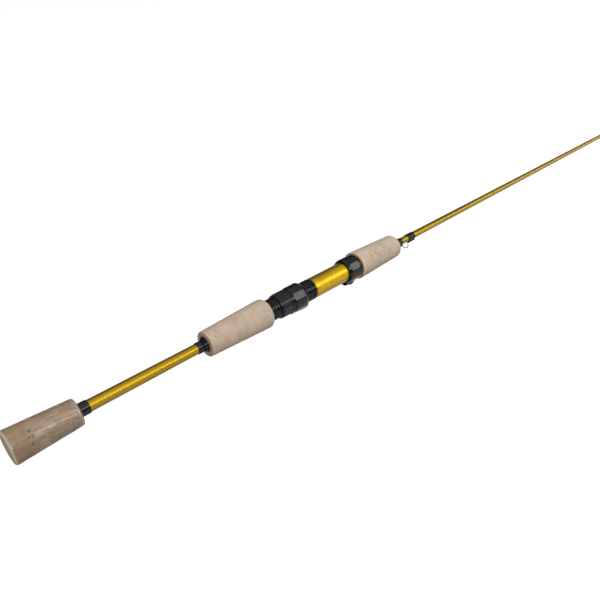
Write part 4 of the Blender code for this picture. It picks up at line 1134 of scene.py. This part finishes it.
def eye(name, station, diameter, middle):
    """The metal holder of a hanging ring, once its ceramic ring is in place."""
    hoop = 0.5 * (diameter - HOLDER_WALL)
    section = (HOLDER_HALF_LENGTH, 0.5 * HOLDER_WALL)
    holder = ring_piece(name + "_holder", station, hoop, section, middle, steel())
    radius = 0.5 * diameter - HOLDER_WALL - 0.5 * SEAT_GAP - 0.5 * RING_WALL
    section = (RING_HALF_LENGTH, 0.5 * RING_WALL)
    ring = ring_piece(name + "_eye", station, radius, section, middle, dark_ceramic())
    dress(ring, name + "_ring", "tip_section")
    return holder


def foot_line(station):
    """Height of the middle of a guide's foot on the tip section."""
    return -(tip_radius(station) + WINDING_GAP + 0.5 * FOOT_THICKNESS)


def make_guide(name, place, diameter, standoff, feet):
    """One line guide with its frame, its ring, and a winding on each foot."""
    base = tip_radius(place)
    middle = -(base + standoff + 0.5 * diameter)
    holder = eye(name, place, diameter, middle)
    half_width = min(FOOT_HALF_WIDTH, FOOT_WIDTH_LIMIT * base)
    foot = (0.0, half_width, FOOT_THICKNESS)
    top = (place, middle + 0.5 * (diameter - HOLDER_WALL))
    legs = []
    for side, label in feet:
        knee = place + side * (LEG_SPREAD * standoff + LEG_KNEE_RUN)
        toe = knee + side * FOOT_LENGTH
        corner = Vector((knee, foot_line(knee)))
        first = corner + (Vector(top) - corner).normalized() * LEG_BEND
        last = corner + (Vector((toe, foot_line(toe))) - corner).normalized() * LEG_BEND
        route = [(*top, half_width * LEG_TOP_WIDTH, FOOT_THICKNESS * LEG_TOP_THICKNESS)]
        bend = curve(first, corner, last, LEG_BEND_STEPS)
        route += [(*point, half_width, FOOT_THICKNESS) for point in bend]
        for share, wide, thick in TOE_TAPER:
            x = knee + (toe - knee) * share
            z = foot_line(x) + 0.5 * FOOT_THICKNESS * (1.0 - thick)
            route.append((x, z, half_width * wide, FOOT_THICKNESS * thick))
        legs.append(strip(name + "_leg", route))
        ends = sorted(station + side * WINDING_MARGIN for station in (knee, toe))
        winding(name + label, *ends, "tip_section", foot)
    dress(union(holder, legs), name + "_frame", "tip_section")


def make_guides():
    """All six guides, spaced further apart towards the butt."""
    for index, (name, diameter, standoff) in enumerate(GUIDES):
        spaces = sum(GUIDE_SPACING_GROWTH ** step for step in range(len(GUIDES) - index))
        feet = TWO_FEET if index < TWO_FOOT_GUIDES else ONE_FOOT
        make_guide(name, ROD_LENGTH - GUIDE_FIRST_SPACING * spaces, diameter, standoff, feet)


def make_tip_top():
    """Capped tube on the tip with its hanging ring, and the winding behind it."""
    end = TIP_TOP_END
    start = end - TIP_TUBE_LENGTH
    inner = tip_radius(start) + WINDING_GAP
    outer = inner + TIP_TUBE_WALL
    keys = [
        (end - TIP_TUBE_WALL, inner),
        (start, inner, 0.05),
        (start, outer, 0.12),
        (end, outer, SOFT_EDGE),
        (end, 0.1),
    ]
    cap = turned("tip_top_tube", keys, even(BLANK_FACETS), steel(), closed=False)
    station = end - HOLDER_HALF_LENGTH
    middle = -(outer + TIP_RING_DROP)
    holder = eye("tip_top", station, TIP_RING_DIAMETER, middle)
    high = -inner - 0.5 * TIP_TUBE_WALL
    low = middle + 0.5 * (TIP_RING_DIAMETER - HOLDER_WALL)
    route = [(station, z, TIP_LEG_HALF_WIDTH, TIP_LEG_THICKNESS) for z in (high, 0.5 * (high + low), low)]
    piece = union(cap, [holder, strip("tip_top_leg", route)])
    dress(piece, "tip_top_frame", "tip_section")
    back = start - SEAT_GAP
    winding("tip_top_winding", back - TIP_WINDING_LENGTH, back, "tip_section")


def make_floor():
    """A wide pale floor that shows white to the eye and in gloss, and keeps the rod's soft shadow."""
    pale = Surface("pale_floor", Specular_IOR_Level=0.0, Emission_Color=WHITE)
    pale.finish(FLOOR_COLOUR, 1.0)
    rays = pale.node("LightPath").outputs
    seen = rays["Is Camera Ray"]
    for kind in ("Is Glossy Ray", "Is Transmission Ray"):
        seen = pale.math("MAXIMUM", seen, rays[kind])
    pale.put(pale.shader, "Emission Strength", pale.times(seen, FLOOR_GLOW))
    mesh = bpy.data.meshes.new("floor")
    low, high = -FLOOR_HALF_SIZE, FLOOR_HALF_SIZE
    corners = [(x, y, FLOOR_HEIGHT) for x, y in ((low, low), (high, low), (high, high), (low, high))]
    mesh.from_pydata(corners, [], [(0, 1, 2, 3)])
    mesh.materials.append(pale.material)
    added("floor", mesh)


def soft_box(name, elevation, height, radiance):
    """A soft box along the rod on the camera's side, aimed at the rod."""
    data = bpy.data.lights.new(name, "AREA")
    data.shape = "RECTANGLE"
    data.size = LAMP_LENGTH
    data.size_y = height
    data.energy = radiance * pi * LAMP_LENGTH * height
    lamp = added(name, data)
    outwards = Vector((0.0, -cos(elevation), sin(elevation)))
    lamp.location = Vector((LAMP_STATION, 0.0, 0.0)) + LAMP_DISTANCE * outwards
    lamp.rotation_euler = outwards.to_track_quat("Z", "Y").to_euler()


def make_light():
    """Soft light from all round, brighter overhead, and two long soft boxes on the camera's side."""
    world = bpy.data.worlds.new("studio")
    bpy.context.scene.world = world
    world.use_nodes = True
    sky = Nodes(world.node_tree)
    direction = sky.node("TexCoord").outputs["Generated"]
    towards = sky.vector("DOT_PRODUCT", direction, SKY_CENTRE)
    ground = sky.tree.nodes["Background"]
    sky.put(ground, "Color", WHITE)
    sky.put(ground, "Strength", sky.step(towards, SKY_EDGE, 1.0, WORLD_LEVEL, WORLD_LEVEL + SKY_LEVEL))
    for lamp in LAMPS:
        soft_box(*lamp)


def make_camera():
    """The photograph's viewpoint."""
    right = Vector(CAMERA_RIGHT).normalized()
    back = right.cross(Vector(CAMERA_UP)).normalized()
    data = bpy.data.cameras.new("camera")
    data.lens = CAMERA_LENS
    data.sensor_width = CAMERA_SENSOR
    data.clip_start = CAMERA_NEAR
    camera = added("camera", data)
    turn = Matrix((right, back.cross(right), back)).transposed().to_4x4()
    camera.matrix_world = Matrix.Translation(CAMERA_PLACE) @ turn
    bpy.context.scene.camera = camera


def main():
    """Makes the camera, the light, the floor and every piece."""
    bpy.context.scene.view_settings.view_transform = "Standard"
    make_camera()
    make_light()
    make_floor()
    make_blanks()
    make_grips()
    make_butt_windings()
    make_seat()
    make_nut()
    make_sliding_hood()
    make_fixed_hood()
    make_keeper()
    winding("ferrule_winding", *FERRULE_WINDING, "tip_section")
    make_guides()
    make_tip_top()
    paper = wound_paper()
    for name in ("rear_arbor", "middle_arbor", "front_arbor"):
        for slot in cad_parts[name].material_slots:
            slot.material = paper


main()
